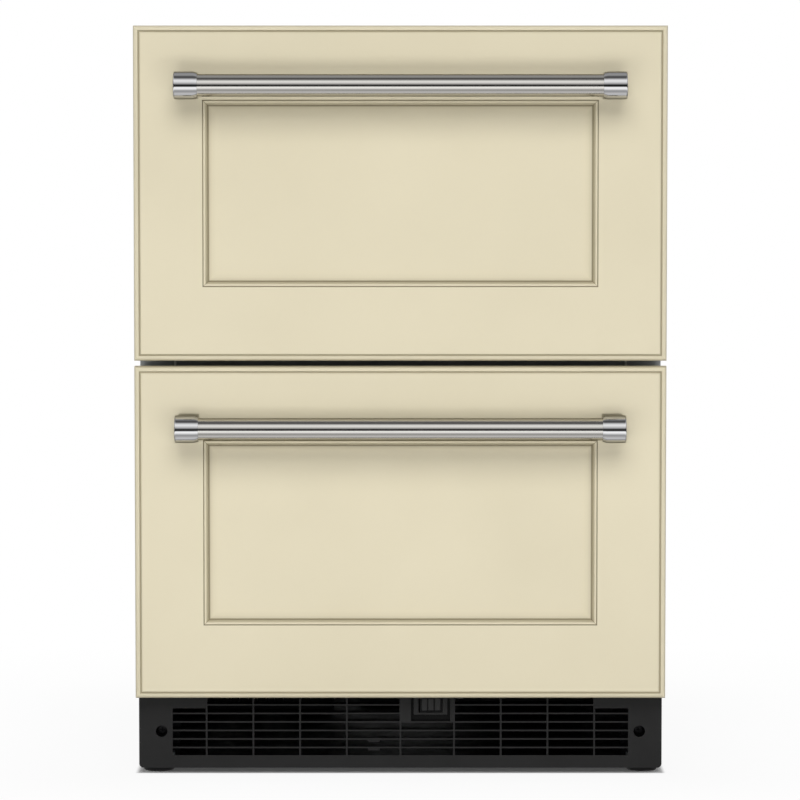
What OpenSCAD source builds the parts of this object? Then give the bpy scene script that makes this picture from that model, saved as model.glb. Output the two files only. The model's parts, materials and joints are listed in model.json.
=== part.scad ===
/* [Overall] */
// Height from the floor to the top of the drawer fronts
total_h = 855; // [850:1:870]
// Height of the drawer fronts' lower edge above the floor
toe_h = 89.8; // [88:0.1:94]
// Width of the drawer fronts
front_w = 605; // [602:1:612]
// Gap between the two drawer fronts
front_gap = 6.4; // [4:0.2:8]
// Height of the steel underside above the floor with the legs wound in
base_gap = 10.3; // [9:0.1:12]

/* [Cabinet] */
// Width of the steel cabinet
cabinet_w = 600; // [594:1:600]
// Depth of the steel cabinet behind its fronts
cabinet_d = 534; // [530:1:550]
// How far the cabinet top lies below the top of the fronts
top_drop = 3; // [2.5:0.5:6]
// Thickness of the steel sheet
sheet_t = 1; // [0.8:0.1:1.2]
// Thickness of the foam walls
foam_t = 38; // [36:0.5:40]
// Thickness of the plastic liner
liner_t = 2.5; // [2:0.1:3]
// Height of the rail between the two drawer openings
mullion_h = 44; // [40:1:48]
// Depth of the rail between the two drawer openings
mullion_d = 50; // [40:1:60]
// Depth of the machine compartment
machine_d = 205; // [200:1:212]
// Height of the machine compartment's ceiling above the floor
machine_h = 225; // [215:1:230]

/* [Drawer fronts] */
// Thickness of the wooden front
front_t = 19; // [18:0.5:22]
// Width of the front's stiles, edge to moulding
stile_w = 78.5; // [74:0.5:84]
// Height of the front's rails, edge to moulding
rail_h = 84.2; // [78:0.1:90]
// Width of the sloping moulding round the field
mould_w = 6; // [4:0.2:9]
// Depth of the field below the front's face
field_recess = 6.5; // [5:0.1:7]
// Thickness of the field
field_t = 9.5; // [8:0.5:10]
// Depth of the groove that holds the field
dado_d = 9; // [6:0.5:12]
// Radius of the front's outer edge
rim_r = 5; // [2:0.5:6]
// Distance of the scratch bead from the outer edge
bead_inset = 6.6; // [6.2:0.2:9]
// Width of the scratch bead
bead_w = 2; // [1:0.1:3]
// Depth of the scratch bead
bead_d = 1.2; // [0.6:0.1:2]

/* [Handles] */
// Length of a handle over its ends
handle_l = 508; // [440:2:530]
// Diameter of the handle bar
bar_dia = 25; // [20:0.5:28]
// Diameter of the polished end
cap_dia = 31; // [29:0.5:36]
// Width of the polished end along the bar
cap_w = 26.5; // [22:0.5:32]
// Width of the post under the end
post_w = 22.5; // [18:0.5:23]
// Height of the post
post_h = 30; // [20:1:31]
// Depth of the handle from the front's face
handle_reach = 57; // [50:1:70]
// Height of the handle's axis below the front's top edge
handle_drop = 68.5; // [50:0.1:80]
// Depth of the bar's seat in each end
bar_seat = 15; // [10:1:18]
// Diameter of the handle screws
handle_screw_dia = 5; // [4:0.5:6]

/* [Doors and bins] */
// Thickness of the foamed door behind the wooden front
door_t = 38; // [34:1:45]
// Width of the magnetic gasket
gasket_w = 14; // [10:1:15]
// Gap between door and cabinet that the gasket fills
gasket_t = 9.3; // [8:0.1:12]
// Thickness of the bins' walls
bin_wall = 3; // [2:0.1:4]
// Room above the upper bin
upper_bin_room = 38.1; // [20:0.1:60]
// Room above the lower bin
lower_bin_room = 24.1; // [20:0.1:40]

/* [Slides] */
// Length of the slides
slide_l = 430; // [420:1:440]
// Thickness of a closed slide
slide_t = 12.7; // [12.7:0.1:14]
// Height of a slide
slide_h = 45; // [40:1:48]
// Thickness of the slides' steel
slide_steel = 1.2; // [1:0.1:1.4]

/* [Toe grille] */
// How far the grille stands past each side of the cabinet
grille_over = 0.3; // [0:0.1:1]
// Distance of the grille behind the drawer fronts
grille_recess = 27; // [20:1:32]
// Height of the grille's lower edge above the floor
grille_low = 5.8; // [5:0.1:9]
// Depth of the louvre slats
slat_d = 20; // [16:0.5:24]
// Thickness of the louvre slats
slat_t = 1.7; // [1.4:0.1:3]
// Distance between the louvre slats
slat_pitch = 9.86; // [9:0.02:9.9]
// Distance of the top slat's middle below the louvre's upper edge
slat_drop = 9.5; // [8:0.1:10]
// Number of louvre slats
slat_count = 6; // [4:1:6]
// Width of the outer louvre columns' pitch
column_w = 53.7; // [50:0.1:55]
// Width of the two middle louvre columns
middle_column_w = 61.6; // [60:0.1:64]
// Thickness of the ribs between the columns
rib_t = 2; // [1.6:0.1:4]
// Thickness of the grille's plastic
grille_wall = 2.5; // [2:0.1:3]
// Radius of the deep screw holes
screw_well_r = 6.6; // [6:0.1:8]
// Distance of the screw holes from the grille's ends
screw_inset = 25.8; // [20:0.1:27]
// Height of the screw holes above the floor
screw_z = 48; // [40:1:60]

/* [Switch] */
// Width of the switch bezel
bezel_w = 39; // [36:0.5:42]
// Height of the switch bezel
bezel_h = 21; // [20:0.5:22]
// Width of the rocker
rocker_w = 26; // [22:0.5:28]
// Height of the rocker
rocker_h = 15.5; // [13:0.5:16]
// Tilt of the rocker when it rests
rocker_tilt = 6; // [4:1:8]

/* [Legs] */
// Radius of a leg's foot
foot_r = 18; // [15:0.5:18]
// Distance of the legs from the cabinet's sides
leg_inset = 21; // [21:0.5:30]
// Distance of the front legs behind the fronts' face
front_leg_y = 56; // [50:0.5:56]
// Distance of the rear legs from the cabinet's back
rear_leg_y = 36; // [34:0.5:40]
// Radius of a leg's stud
stud_r = 5; // [4:0.5:6]
// Length of a leg's stud above the foot
stud_l = 26; // [24:0.5:28]

/* [Hidden] */
$fn = 64;

// Clearances
run_gap = 0.3;      // between pieces of different bodies
seat_gap = 0.05;    // round a pin, screw or shaft in its hole
cut = 1;            // how far a cutter runs past the face it opens

// Planes from front to back: Y is zero at the middle of the whole depth
rear_reach = 6;     // how far the machine cover stands behind the cabinet
total_d = handle_reach + front_t + door_t + gasket_t + cabinet_d + rear_reach;
y_panel = -total_d / 2 + handle_reach;
y_shell = y_panel + front_t;
y_seal = y_shell + door_t;
y_cab = y_seal + gasket_t;
y_back = y_cab + cabinet_d;
y_bar = -total_d / 2 + cap_dia / 2;
y_grille = y_panel + grille_recess;
y_field = y_panel + field_recess;

// Heights and widths of the cabinet
front_h = (total_h - toe_h - front_gap) / 2;  // height of one drawer front
lower_z = toe_h;
upper_z = total_h - front_h;
cabinet_top = total_h - top_drop;
duct_top = lower_z + 2;                      // underside of the insulated floor
mullion_z = upper_z - front_gap / 2;
skin_half = cabinet_w / 2 - sheet_t;         // inside of the steel side
liner_half = skin_half - foam_t - liner_t;   // inside of the plastic liner
liner_floor = duct_top + sheet_t + foam_t + liner_t;
liner_top = cabinet_top - sheet_t - foam_t - liner_t;
liner_back = y_back - sheet_t - foam_t - liner_t;
machine_front = y_back - machine_d;          // rear face of the step sheet
hump_floor = machine_h + sheet_t + foam_t + liner_t;
hump_front = machine_front - sheet_t - foam_t - liner_t;
pan_t = 2;                                   // base pan steel
pan_top = base_gap + pan_t;

// Doors, bins and slides
door_inset = 2.5;                            // door shell inside the wooden front's outline
door_half = cabinet_w / 2 - door_inset;
gasket_inset = 1;                            // gasket inside the door shell's outline
evap_d = 46;                                 // depth of the evaporator's space
y_evap = liner_back - evap_d;                // front of the evaporator cover
bin_half = liner_half - slide_t;
bin_back = y_evap - 10;
bin_lift = 8;                                // bins above the rail or floor
upper_bin_z = mullion_z + mullion_h / 2 + bin_lift;
lower_bin_z = liner_floor + bin_lift;
step_bin_z = hump_floor + bin_lift;
tub_back = hump_front - 10;
upper_bin_top = liner_top - upper_bin_room;
lower_bin_top = mullion_z - mullion_h / 2 - lower_bin_room;
slide_setback = 6.5;                         // slides behind the cabinet's front
slide_y = y_cab + slide_setback;
slide_lift = 10;                             // slides above the bins' floors
upper_slide_z = upper_bin_z + slide_lift + slide_h / 2;
lower_slide_z = step_bin_z + slide_lift + slide_h / 2;
slide_step = slide_steel + run_gap;

// Wooden fronts and handles
field_half = front_w / 2 - stile_w - mould_w;
rail_in = rail_h + mould_w;
field_play = 0.5;                            // room for the field to move in its groove
cap_inner = handle_l / 2 - cap_w;
post_inset = 1.5;                            // post behind the end's inner edge
post_x = cap_inner + post_inset + post_w / 2;
bar_r = bar_dia / 2;
cap_r = cap_dia / 2;
handle_screw_r = handle_screw_dia / 2;
screw_head_r = 4.7;
screw_head_h = 3.5;
screw_bite = 14;                             // thread length in the post
function handle_z(z0) = z0 + front_h - handle_drop;

// Shared forms
module slab(x0, x1, y0, y1, z0, z1) translate([x0, y0, z0]) cube([x1 - x0, y1 - y0, z1 - z0]);
module both_sides() { children(); mirror([1, 0, 0]) children(); }
module rod_x(x0, x1, y, z, r) translate([x0, y, z]) rotate([0, 90, 0]) cylinder(r = r, h = x1 - x0);
module rod_y(x, y0, y1, z, r) translate([x, y0, z]) rotate([-90, 0, 0]) cylinder(r = r, h = y1 - y0);
module rod_z(x, y, z0, z1, r) translate([x, y, z0]) cylinder(r = r, h = z1 - z0);
module prism_x(x0, x1) translate([x0, 0, 0]) rotate([90, 0, 90]) linear_extrude(x1 - x0) children();
module prism_z(z0, z1) translate([0, 0, z0]) linear_extrude(z1 - z0) children();

// A flat rectangular ring, standing in the front's plane
module ring(half, z0, z1, y0, y1, w) difference() {
    slab(-half, half, y0, y1, z0, z1);
    slab(w - half, half - w, y0 - cut, y1 + cut, z0 + w, z1 - w);
}

// Sloping sides of the field's recess: two prisms whose crossing mitres the corners
module moulding_cut(z0) {
    a = field_half + mould_w;
    b = field_half;
    y0 = y_panel - cut;
    y1 = y_panel + bead_d / 2;
    z1 = z0 + rail_h;
    z2 = z0 + front_h - rail_h;
    intersection() {
        prism_z(z0, z0 + front_h)
            polygon([[-a, y0], [a, y0], [a, y1], [b, y_field], [-b, y_field], [-a, y1]]);
        prism_x(-front_w / 2, front_w / 2) polygon([[y0, z1], [y0, z2], [y1, z2],
            [y_field, z2 - mould_w], [y_field, z1 + mould_w], [y1, z1]]);
    }
}

// Rounded outer edges: a square bar less the round that stays
module rim_side_cut(z0) both_sides() difference() {
    slab(front_w / 2 - rim_r, front_w / 2 + cut, y_panel - cut, y_panel + rim_r,
        z0 - cut, z0 + front_h + cut);
    rod_z(front_w / 2 - rim_r, y_panel + rim_r, z0 - 2 * cut, z0 + front_h + 2 * cut, rim_r);
}
module rim_level_cut(z, dir) difference() {
    slab(-front_w / 2 - cut, front_w / 2 + cut, y_panel - cut, y_panel + rim_r,
        dir > 0 ? z - rim_r : z - cut, dir > 0 ? z + cut : z + rim_r);
    rod_x(-front_w / 2 - 2 * cut, front_w / 2 + 2 * cut, y_panel + rim_r, z - dir * rim_r, rim_r);
}

module panel_frame(z0) color("#DDD1B7") difference() {
    slab(-front_w / 2, front_w / 2, y_panel, y_shell, z0, z0 + front_h);
    slab(-field_half, field_half, y_panel - cut, y_shell + cut, z0 + rail_in, z0 + front_h - rail_in);
    slab(-field_half - dado_d, field_half + dado_d, y_field, y_field + field_t,
        z0 + rail_in - dado_d, z0 + front_h - rail_in + dado_d);
    moulding_cut(z0);
    rim_side_cut(z0);
    rim_level_cut(z0, -1);
    rim_level_cut(z0 + front_h, 1);
    ring(front_w / 2 - bead_inset, z0 + bead_inset, z0 + front_h - bead_inset,
        y_panel - cut, y_panel + bead_d, bead_w);
    both_sides() {
        rod_y(post_x, y_panel - cut, y_shell + cut, handle_z(z0), handle_screw_r + seat_gap);
        rod_y(post_x, y_shell - screw_head_h, y_shell + cut, handle_z(z0), screw_head_r + seat_gap);
    }
}
module panel_field(z0) color("#E1D9BE")
    slab(field_play - field_half - dado_d, field_half + dado_d - field_play, y_field, y_field + field_t,
        z0 + rail_in - dado_d, z0 + front_h - rail_in + dado_d - field_play);

module handle_bar(z0) color("#C8C8C8")
    rod_x(-cap_inner - bar_seat, cap_inner + bar_seat, y_bar, handle_z(z0), bar_r);

// Polished end: a short cylinder with a chamfer towards the bar and a soft outer edge
module cap_body() {
    chamfer = 3.5;
    soft = 2;
    rotate([0, 90, 0]) {
        cylinder(r1 = cap_r - chamfer / 2, r2 = cap_r, h = chamfer);
        translate([0, 0, chamfer]) cylinder(r = cap_r, h = cap_w - chamfer - soft);
        translate([0, 0, chamfer]) cylinder(r = cap_r - soft, h = cap_w - chamfer);
        translate([0, 0, cap_w - soft]) rotate_extrude() translate([cap_r - soft, 0]) circle(soft, $fn = 32);
    }
}
module handle_ends(z0) color("#D8D8D8") both_sides() difference() {
    union() {
        translate([cap_inner, y_bar, handle_z(z0)]) cap_body();
        slab(post_x - post_w / 2, post_x + post_w / 2, y_bar, y_panel,
            handle_z(z0) - post_h / 2, handle_z(z0) + post_h / 2);
    }
    rod_x(cap_inner - cut, cap_inner + bar_seat, y_bar, handle_z(z0), bar_r + seat_gap);
    rod_y(post_x, y_panel - screw_bite - cut, y_panel + cut, handle_z(z0), handle_screw_r + seat_gap);
}
module handle_screws(z0) color("#B0B0B0") both_sides() {
    rod_y(post_x, y_panel - screw_bite, y_shell - screw_head_h / 2, handle_z(z0), handle_screw_r);
    rod_y(post_x, y_shell - screw_head_h, y_shell, handle_z(z0), screw_head_r);
}

// Foamed door behind the wooden front
module door_shell(z0) color("#B8BABB") difference() {
    slab(-door_half, door_half, y_shell, y_seal - liner_t, z0 + door_inset, z0 + front_h - door_inset);
    slab(sheet_t - door_half, door_half - sheet_t, y_shell + sheet_t, y_seal,
        z0 + door_inset + sheet_t, z0 + front_h - door_inset - sheet_t);
}
module door_foam(z0) color("#E8D9A8")
    slab(sheet_t - door_half, door_half - sheet_t, y_shell + sheet_t, y_seal - liner_t,
        z0 + door_inset + sheet_t, z0 + front_h - door_inset - sheet_t);
module door_liner(z0) color("#F2F2EE")
    slab(-door_half, door_half, y_seal - liner_t, y_seal, z0 + door_inset, z0 + front_h - door_inset);
module door_gasket(z0) color("#9A9A98") {
    edge = door_inset + gasket_inset;
    foot = 3;
    inset = 1.5;
    ring(door_half - gasket_inset, z0 + edge, z0 + front_h - edge, y_seal, y_seal + foot, gasket_w);
    ring(door_half - gasket_inset - inset, z0 + edge + inset, z0 + front_h - edge - inset,
        y_seal + foot, y_cab - run_gap, gasket_w - 2 * inset);
}

// Bins: open tubs; the lower one steps up over the machine compartment
module upper_drawer_bin() color("#F4F4F2") difference() {
    slab(-bin_half, bin_half, y_seal, bin_back, upper_bin_z, upper_bin_top);
    slab(bin_wall - bin_half, bin_half - bin_wall, y_seal + bin_wall, bin_back - bin_wall,
        upper_bin_z + bin_wall, upper_bin_top + cut);
}
module lower_drawer_bin() color("#F4F4F2") difference() {
    union() {
        slab(-bin_half, bin_half, y_seal, tub_back, lower_bin_z, lower_bin_top);
        slab(-bin_half, bin_half, tub_back - bin_wall, bin_back, step_bin_z, lower_bin_top);
    }
    slab(bin_wall - bin_half, bin_half - bin_wall, y_seal + bin_wall, tub_back - bin_wall,
        lower_bin_z + bin_wall, lower_bin_top + cut);
    slab(bin_wall - bin_half, bin_half - bin_wall, y_seal + bin_wall, bin_back - bin_wall,
        step_bin_z + bin_wall, lower_bin_top + cut);
}

// Telescopic slides: nested channels; the drawer's channel opens towards the wall
module channel(x0, x1, half, web_out) difference() {
    slab(x0, x1, slide_y, slide_y + slide_l, -half, half);
    slab(web_out ? x0 - cut : x0 + slide_steel, web_out ? x1 - slide_steel : x1 + cut,
        slide_y - cut, slide_y + slide_l + cut, slide_steel - half, half - slide_steel);
}
module slide_cabinet_members(z) color("#C4C6C8") translate([0, 0, z]) both_sides()
    channel(bin_half + 2 * slide_steel, liner_half, slide_h / 2, true);
module slide_middle_members(z) color("#BFC1C3") translate([0, 0, z]) both_sides()
    channel(bin_half + slide_step, liner_half - slide_step, slide_h / 2 - slide_step, true);
module slide_drawer_members(z) color("#B9BBBD") translate([0, 0, z]) both_sides()
    channel(bin_half, liner_half - 2 * slide_step, slide_h / 2 - 2 * slide_step, false);

// Cabinet skin: sides, top and the front flange that the gaskets seal against
module cabinet_wrapper() color("#A9ABAC") difference() {
    slab(-cabinet_w / 2, cabinet_w / 2, y_cab, y_back, base_gap, cabinet_top);
    slab(-skin_half, skin_half, y_cab + sheet_t, y_back + cut, base_gap - cut, cabinet_top - sheet_t);
    slab(-skin_half, skin_half, y_cab - cut, y_back, base_gap - cut, duct_top);
    slab(-liner_half - liner_t, liner_half + liner_t, y_cab - cut, y_back,
        liner_floor - liner_t, liner_top + liner_t);
    bracket_holes() rod_z(0, 0, cabinet_top - sheet_t - cut, cabinet_top + cut, bracket_hole_r);
}

// A block with a raised rear: everything above a floor that steps up over the machines
module stepped(y_front, z_floor, y_step, z_step, y_end, z_top, half) prism_x(-half, half)
    polygon([[y_front, z_floor], [y_step, z_floor], [y_step, z_step], [y_end, z_step],
        [y_end, z_top], [y_front, z_top]]);

module cabinet_floor() color("#A9ABAC") difference() {
    stepped(y_cab + sheet_t, duct_top, machine_front, machine_h, y_back,
        cabinet_top - sheet_t, skin_half);
    stepped(y_cab, duct_top + sheet_t, machine_front - sheet_t, machine_h + sheet_t, y_back + cut,
        cabinet_top, skin_half + cut);
    line_path(line_r + seat_gap);
}
module foam_insulation() color("#E8D9A8") difference() {
    stepped(y_cab + sheet_t, duct_top + sheet_t, machine_front - sheet_t, machine_h + sheet_t,
        y_back - sheet_t, cabinet_top - sheet_t, skin_half);
    stepped(y_cab - cut, liner_floor - liner_t, hump_front + liner_t, hump_floor - liner_t,
        liner_back + liner_t, liner_top + liner_t, liner_half + liner_t);
    line_path(line_r + seat_gap);
    bracket_holes() rod_z(0, 0, cabinet_top - sheet_t - bracket_pocket, cabinet_top, bracket_hole_r);
}
module cabinet_liner() color("#F2F2EE") difference() {
    stepped(y_cab, liner_floor - liner_t, hump_front + liner_t, hump_floor - liner_t,
        liner_back + liner_t, liner_top + liner_t, liner_half + liner_t);
    stepped(y_cab - cut, liner_floor, hump_front, hump_floor, liner_back, liner_top, liner_half);
    line_path(line_r + seat_gap);
}
module cabinet_back() color("#B4B6B7")
    slab(-skin_half, skin_half, y_back - sheet_t, y_back, machine_h + sheet_t, cabinet_top - sheet_t);
module center_mullion() color("#A9ABAC")
    slab(-liner_half, liner_half, y_cab, y_cab + mullion_d,
        mullion_z - mullion_h / 2, mullion_z + mullion_h / 2);

// Base pan: reaches forward under the grille, with two upright ears for its screws
ear_w = 44;
grille_half = cabinet_w / 2 + grille_over;
screw_x = grille_half - screw_inset;
module base_pan() color("#8E9092") difference() {
    union() {
        slab(-skin_half, skin_half, y_cab, y_back, base_gap, pan_top);
        slab(run_gap + grille_wall - grille_half, grille_half - grille_wall - run_gap,
            y_grille + grille_wall + run_gap, y_cab, base_gap, pan_top);
        both_sides() slab(skin_half - ear_w, skin_half, y_cab, y_cab + pan_t,
            base_gap, screw_z + screw_well_r);
    }
    legs() rod_z(0, 0, base_gap - cut, pan_top + cut, stud_r + 1);
    both_sides() rod_y(screw_x, y_cab - cut, y_cab + pan_t + cut, screw_z, grille_screw_r + seat_gap);
}

// Legs: foot and stud, carried in nut plates on the pan
leg_x = cabinet_w / 2 - leg_inset;
leg_ys = [y_panel + front_leg_y, y_back - rear_leg_y];
module legs() for (x = [-leg_x, leg_x], y = leg_ys) translate([x, y, 0]) children();
nut_plate = [36, 20, 8];
module leg_nut_plates() color("#9C9EA0") legs() difference() {
    translate([-nut_plate[0] / 2, -nut_plate[1] / 2, pan_top]) cube(nut_plate);
    rod_z(0, 0, pan_top - cut, pan_top + nut_plate[2] + cut, stud_r + seat_gap);
}
module levelling_leg(x, y) color("#1C1C1C") translate([x, y, 0]) {
    foot_h = base_gap - run_gap;
    cylinder(r1 = foot_r - 1, r2 = foot_r, h = 2);
    translate([0, 0, 2]) cylinder(r = foot_r, h = foot_h / 2 - 2);
    translate([0, 0, foot_h / 2]) cylinder(r1 = foot_r, r2 = foot_r / 2, h = foot_h / 2);
    cylinder(r = stud_r, h = foot_h + stud_l);
}

// Plates on the cabinet's top, screwed up into the worktop
bracket_x = cabinet_w / 2 - 80;
bracket_y = [20, 50];          // hole distances from the cabinet's front
bracket_t = 2;
bracket_half = 18;
bracket_rim = 12;              // plate round the outer holes
bracket_hole_r = 2.5;
bracket_pocket = 14;
module bracket_holes() for (x = [-bracket_x, bracket_x], y = bracket_y)
    translate([x, y_cab + y, 0]) children();
module mounting_brackets() color("#B4B6B7") difference() {
    both_sides() slab(bracket_x - bracket_half, bracket_x + bracket_half,
        y_cab + bracket_y[0] - bracket_rim, y_cab + bracket_y[1] + bracket_rim,
        cabinet_top, cabinet_top + bracket_t);
    bracket_holes() rod_z(0, 0, cabinet_top - cut, cabinet_top + bracket_t + cut, bracket_hole_r);
}

// Shallow pan over the machine compartment's back, with rows of air slots
slot_w = 46;
slot_h = 6;
slot_pitch = [60, 14];
slot_side = 49;                // from the cover's sides to the outer slots
slot_foot = 47.7;              // from the pan up to the first row
slot_head = 32;                // from the top row to the cover's top
inlet_x = skin_half - 37;
inlet_z = pan_top + 27.7;
inlet_r = 8;
inlet_flange = [4, 3];         // the flange's overlap and thickness
inlet_l = 12;                  // depth of the inlet inside the compartment
module rear_machine_cover() color("#8E9092") difference() {
    slab(-skin_half, skin_half, y_back - sheet_t, y_back + rear_reach, pan_top, machine_h);
    slab(sheet_t - skin_half, skin_half - sheet_t, y_back - sheet_t - cut, y_back + rear_reach - sheet_t,
        pan_top + sheet_t, machine_h - sheet_t);
    for (x = [slot_side - skin_half:slot_pitch[0]:skin_half - slot_side - slot_w],
        z = [pan_top + slot_foot:slot_pitch[1]:machine_h - slot_head])
        slab(x, x + slot_w, y_back, y_back + rear_reach + cut, z, z + slot_h);
    rod_y(inlet_x, y_back, y_back + rear_reach + cut, inlet_z, inlet_r + seat_gap);
}
module power_inlet() color("#1C1C1C") difference() {
    cover_in = y_back + rear_reach - sheet_t;
    union() {
        rod_y(inlet_x, y_back - inlet_l, y_back + rear_reach, inlet_z, inlet_r);
        rod_y(inlet_x, cover_in - inlet_flange[1], cover_in, inlet_z, inlet_r + inlet_flange[0]);
    }
    rod_y(inlet_x, y_back - inlet_l - cut, y_back + rear_reach + cut, inlet_z, inlet_r / 2);
}

// Evaporator: finned tubes between two end plates fixed to the liner's back
cover_t = 2;
cover_half = liner_half - 26.5;
cover_low = upper_bin_z - 4;
fan_r = 48;
fan_z = liner_top - fan_r - 35.1;
fan_play = 4;                  // opening round the fan
shaft_r = 2.5;
tube_r = 4;
fin_t = 1;
plate_t = 2;                   // end plates of both coils
plate_gap = 7;                 // from the outer fin to the end plate
evap_half = cover_half - 42;
evap_z = [upper_bin_z + 50, fan_z - fan_r - 27];
evap_y = [y_evap + 8, y_evap + 34];
evap_fin_pitch = 20;
coil_pitch = 23;               // between the tubes of both coils
module evaporator() color("#C9CDD0") {
    for (z = [evap_z[0] + 4 * tube_r:coil_pitch:evap_z[1] - 10], y = [evap_y[0] + 7, evap_y[1] - 7])
        rod_x(-evap_half - plate_gap - fin_t, evap_half + plate_gap + fin_t, y, z, tube_r);
    for (x = [-evap_half:evap_fin_pitch:evap_half])
        slab(x - fin_t / 2, x + fin_t / 2, evap_y[0], evap_y[1], evap_z[0], evap_z[1]);
    both_sides() slab(evap_half + plate_gap, evap_half + plate_gap + plate_t, evap_y[0], liner_back,
        evap_z[0], evap_z[1]);
}
inlet_slot = [10, 24];         // width and height of the cover's air slots
inlet_slot_z = upper_bin_z + 10;
guard_w = 2;                   // rings of the fan guard
spoke_w = 2.5;
module evaporator_cover() color("#F2F2EE") {
    difference() {
        slab(-cover_half, cover_half, y_evap, liner_back, cover_low, liner_top);
        slab(cover_t - cover_half, cover_half - cover_t, y_evap + cover_t, liner_back + cut,
            cover_low + cover_t, liner_top - cover_t);
        rod_y(0, y_evap - cut, y_evap + cover_t + cut, fan_z, fan_r + fan_play);
        for (x = [-evap_half:evap_fin_pitch:evap_half - inlet_slot[0]])
            slab(x, x + inlet_slot[0], y_evap - cut, y_evap + cover_t + cut,
                inlet_slot_z, inlet_slot_z + inlet_slot[1]);
    }
    for (r = [fan_r / 4:10:fan_r]) difference() {
        rod_y(0, y_evap, y_evap + cover_t, fan_z, r + guard_w);
        rod_y(0, y_evap - cut, y_evap + cover_t + cut, fan_z, r);
    }
    for (a = [0:45:135]) translate([0, y_evap + cover_t / 2, fan_z]) rotate([0, a, 0])
        cube([2 * (fan_r + fan_play) + cut, cover_t, spoke_w], center = true);
}
blade_pitch = 28;              // degrees
blade_t = 1.6;
module fan(x, y, z, r, hub_l, blades, bore) translate([x, y, z]) rotate([-90, 0, 0]) difference() {
    union() {
        cylinder(r = r / 4, h = hub_l);
        for (i = [0:blades - 1]) rotate([0, 0, i * 360 / blades])
            translate([0, 0, hub_l / 2]) rotate([blade_pitch, 0, 0])
            translate([r / 5, -r / 5, -blade_t / 2]) cube([r * 0.76, r / 2.5, blade_t]);
    }
    translate([0, 0, -cut]) cylinder(r = bore, h = hub_l + 2 * cut);
}
evap_fan_y = y_evap + 10;
evap_hub_l = 12;
module evaporator_fan() color("#E6E6E2")
    fan(0, evap_fan_y, fan_z, fan_r, evap_hub_l, 5, shaft_r + seat_gap);
module evaporator_fan_motor() color("#3A3A3A") {
    rod_y(0, evap_fan_y + evap_hub_l + run_gap, liner_back, fan_z, fan_r / 3);
    rod_y(0, evap_fan_y + 1, liner_back, fan_z, shaft_r);
}

// Machine compartment
comp_x = skin_half - 149;
comp_y = machine_front + machine_d / 2;
comp_r = 66;
grommet_h = 14;
comp_z = pan_top + grommet_h;
comp_plate_t = 3;
comp_h = machine_h - 75;
comp_dome = 26;
dome_r = (comp_r * comp_r + comp_dome * comp_dome) / (2 * comp_dome);
foot_dx = 66;
foot_dy = 56;
comp_rim = 14;                 // plate outside the grommets' centres
seam_z = comp_z + 73;          // welded seam round the shell
seam_size = [3, 4];            // how far it stands out, and its height
module comp_feet() for (dx = [-foot_dx, foot_dx], dy = [-foot_dy, foot_dy])
    translate([comp_x + dx, comp_y + dy, 0]) children();
grommet_r = 11;
grommet_neck_r = 5;
stub_x = comp_x - comp_r / 2;                // where the two lines enter the shell
stub_y = comp_y - 10;
suction_z = comp_z + comp_h - 20;
module compressor() color("#202224") {
    difference() {
        translate([comp_x, comp_y, comp_z + comp_plate_t]) intersection() {
            cylinder(r = comp_r, h = comp_h);
            translate([0, 0, comp_h - dome_r]) sphere(dome_r);
        }
        rod_z(stub_x, comp_y, suction_z, comp_z + 2 * comp_h, line_r + seat_gap);
        rod_x(comp_x - 2 * comp_r, stub_x - 2 * line_r, stub_y, discharge_z, line_r + seat_gap);
    }
    rod_z(comp_x, comp_y, seam_z, seam_z + seam_size[1], comp_r + seam_size[0]);
    difference() {
        slab(comp_x - foot_dx - comp_rim, comp_x + foot_dx + comp_rim,
            comp_y - foot_dy - comp_rim, comp_y + foot_dy + comp_rim, comp_z, comp_z + comp_plate_t);
        comp_feet() rod_z(0, 0, comp_z - cut, comp_z + comp_plate_t + cut, grommet_neck_r + seat_gap);
    }
}
module compressor_grommets() color("#161616") comp_feet() {
    rod_z(0, 0, pan_top, comp_z, grommet_r);
    rod_z(0, 0, comp_z - cut, comp_z + comp_plate_t + 4, grommet_neck_r);
}
relay_half = 26;
relay_z = [comp_z + 24, comp_z + 68];
module start_relay_box() color("#242424") difference() {
    slab(comp_x - comp_r - relay_half, comp_x, comp_y - relay_half, comp_y + relay_half,
        relay_z[0], relay_z[1]);
    rod_z(comp_x, comp_y, comp_z, comp_z + comp_h, comp_r + seat_gap);
}

// Condenser: finned tubes on two end plates that stand on the pan, with its shroud and fan
cond_x = [31 - skin_half, 207 - skin_half];
cond_y = [machine_front + 20, machine_front + 60];
cond_z = [pan_top + 13.7, machine_h - 49];
cond_fin_pitch = 11;
cond_tube_y = [cond_y[0] + 11, cond_y[1] - 11];
cond_tube_z = cond_z[0] + 15;
module condenser_coil() color("#2A2C2E") {
    for (z = [cond_tube_z:coil_pitch:cond_z[1] - 10], y = cond_tube_y)
        rod_x(cond_x[0] - plate_gap - fin_t, cond_x[1] + plate_gap + fin_t, y, z, tube_r);
    for (x = [cond_x[0]:cond_fin_pitch:cond_x[1]])
        slab(x - fin_t / 2, x + fin_t / 2, cond_y[0], cond_y[1], cond_z[0], cond_z[1]);
    for (x = [cond_x[0] - plate_gap - plate_t, cond_x[1] + plate_gap])
        slab(x, x + plate_t, cond_y[0], cond_y[1], pan_top, cond_z[1]);
}
cond_fan_x = (cond_x[0] + cond_x[1]) / 2;
cond_fan_z = (cond_z[0] + cond_z[1]) / 2;
cond_fan_r = (cond_z[1] - cond_z[0]) / 2 - 9;
shroud_t = 2;
shroud_d = 24;
shroud_y = cond_y[1] + shroud_t;
cond_fan_y = shroud_y + 3;
cond_hub_l = 16;
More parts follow.
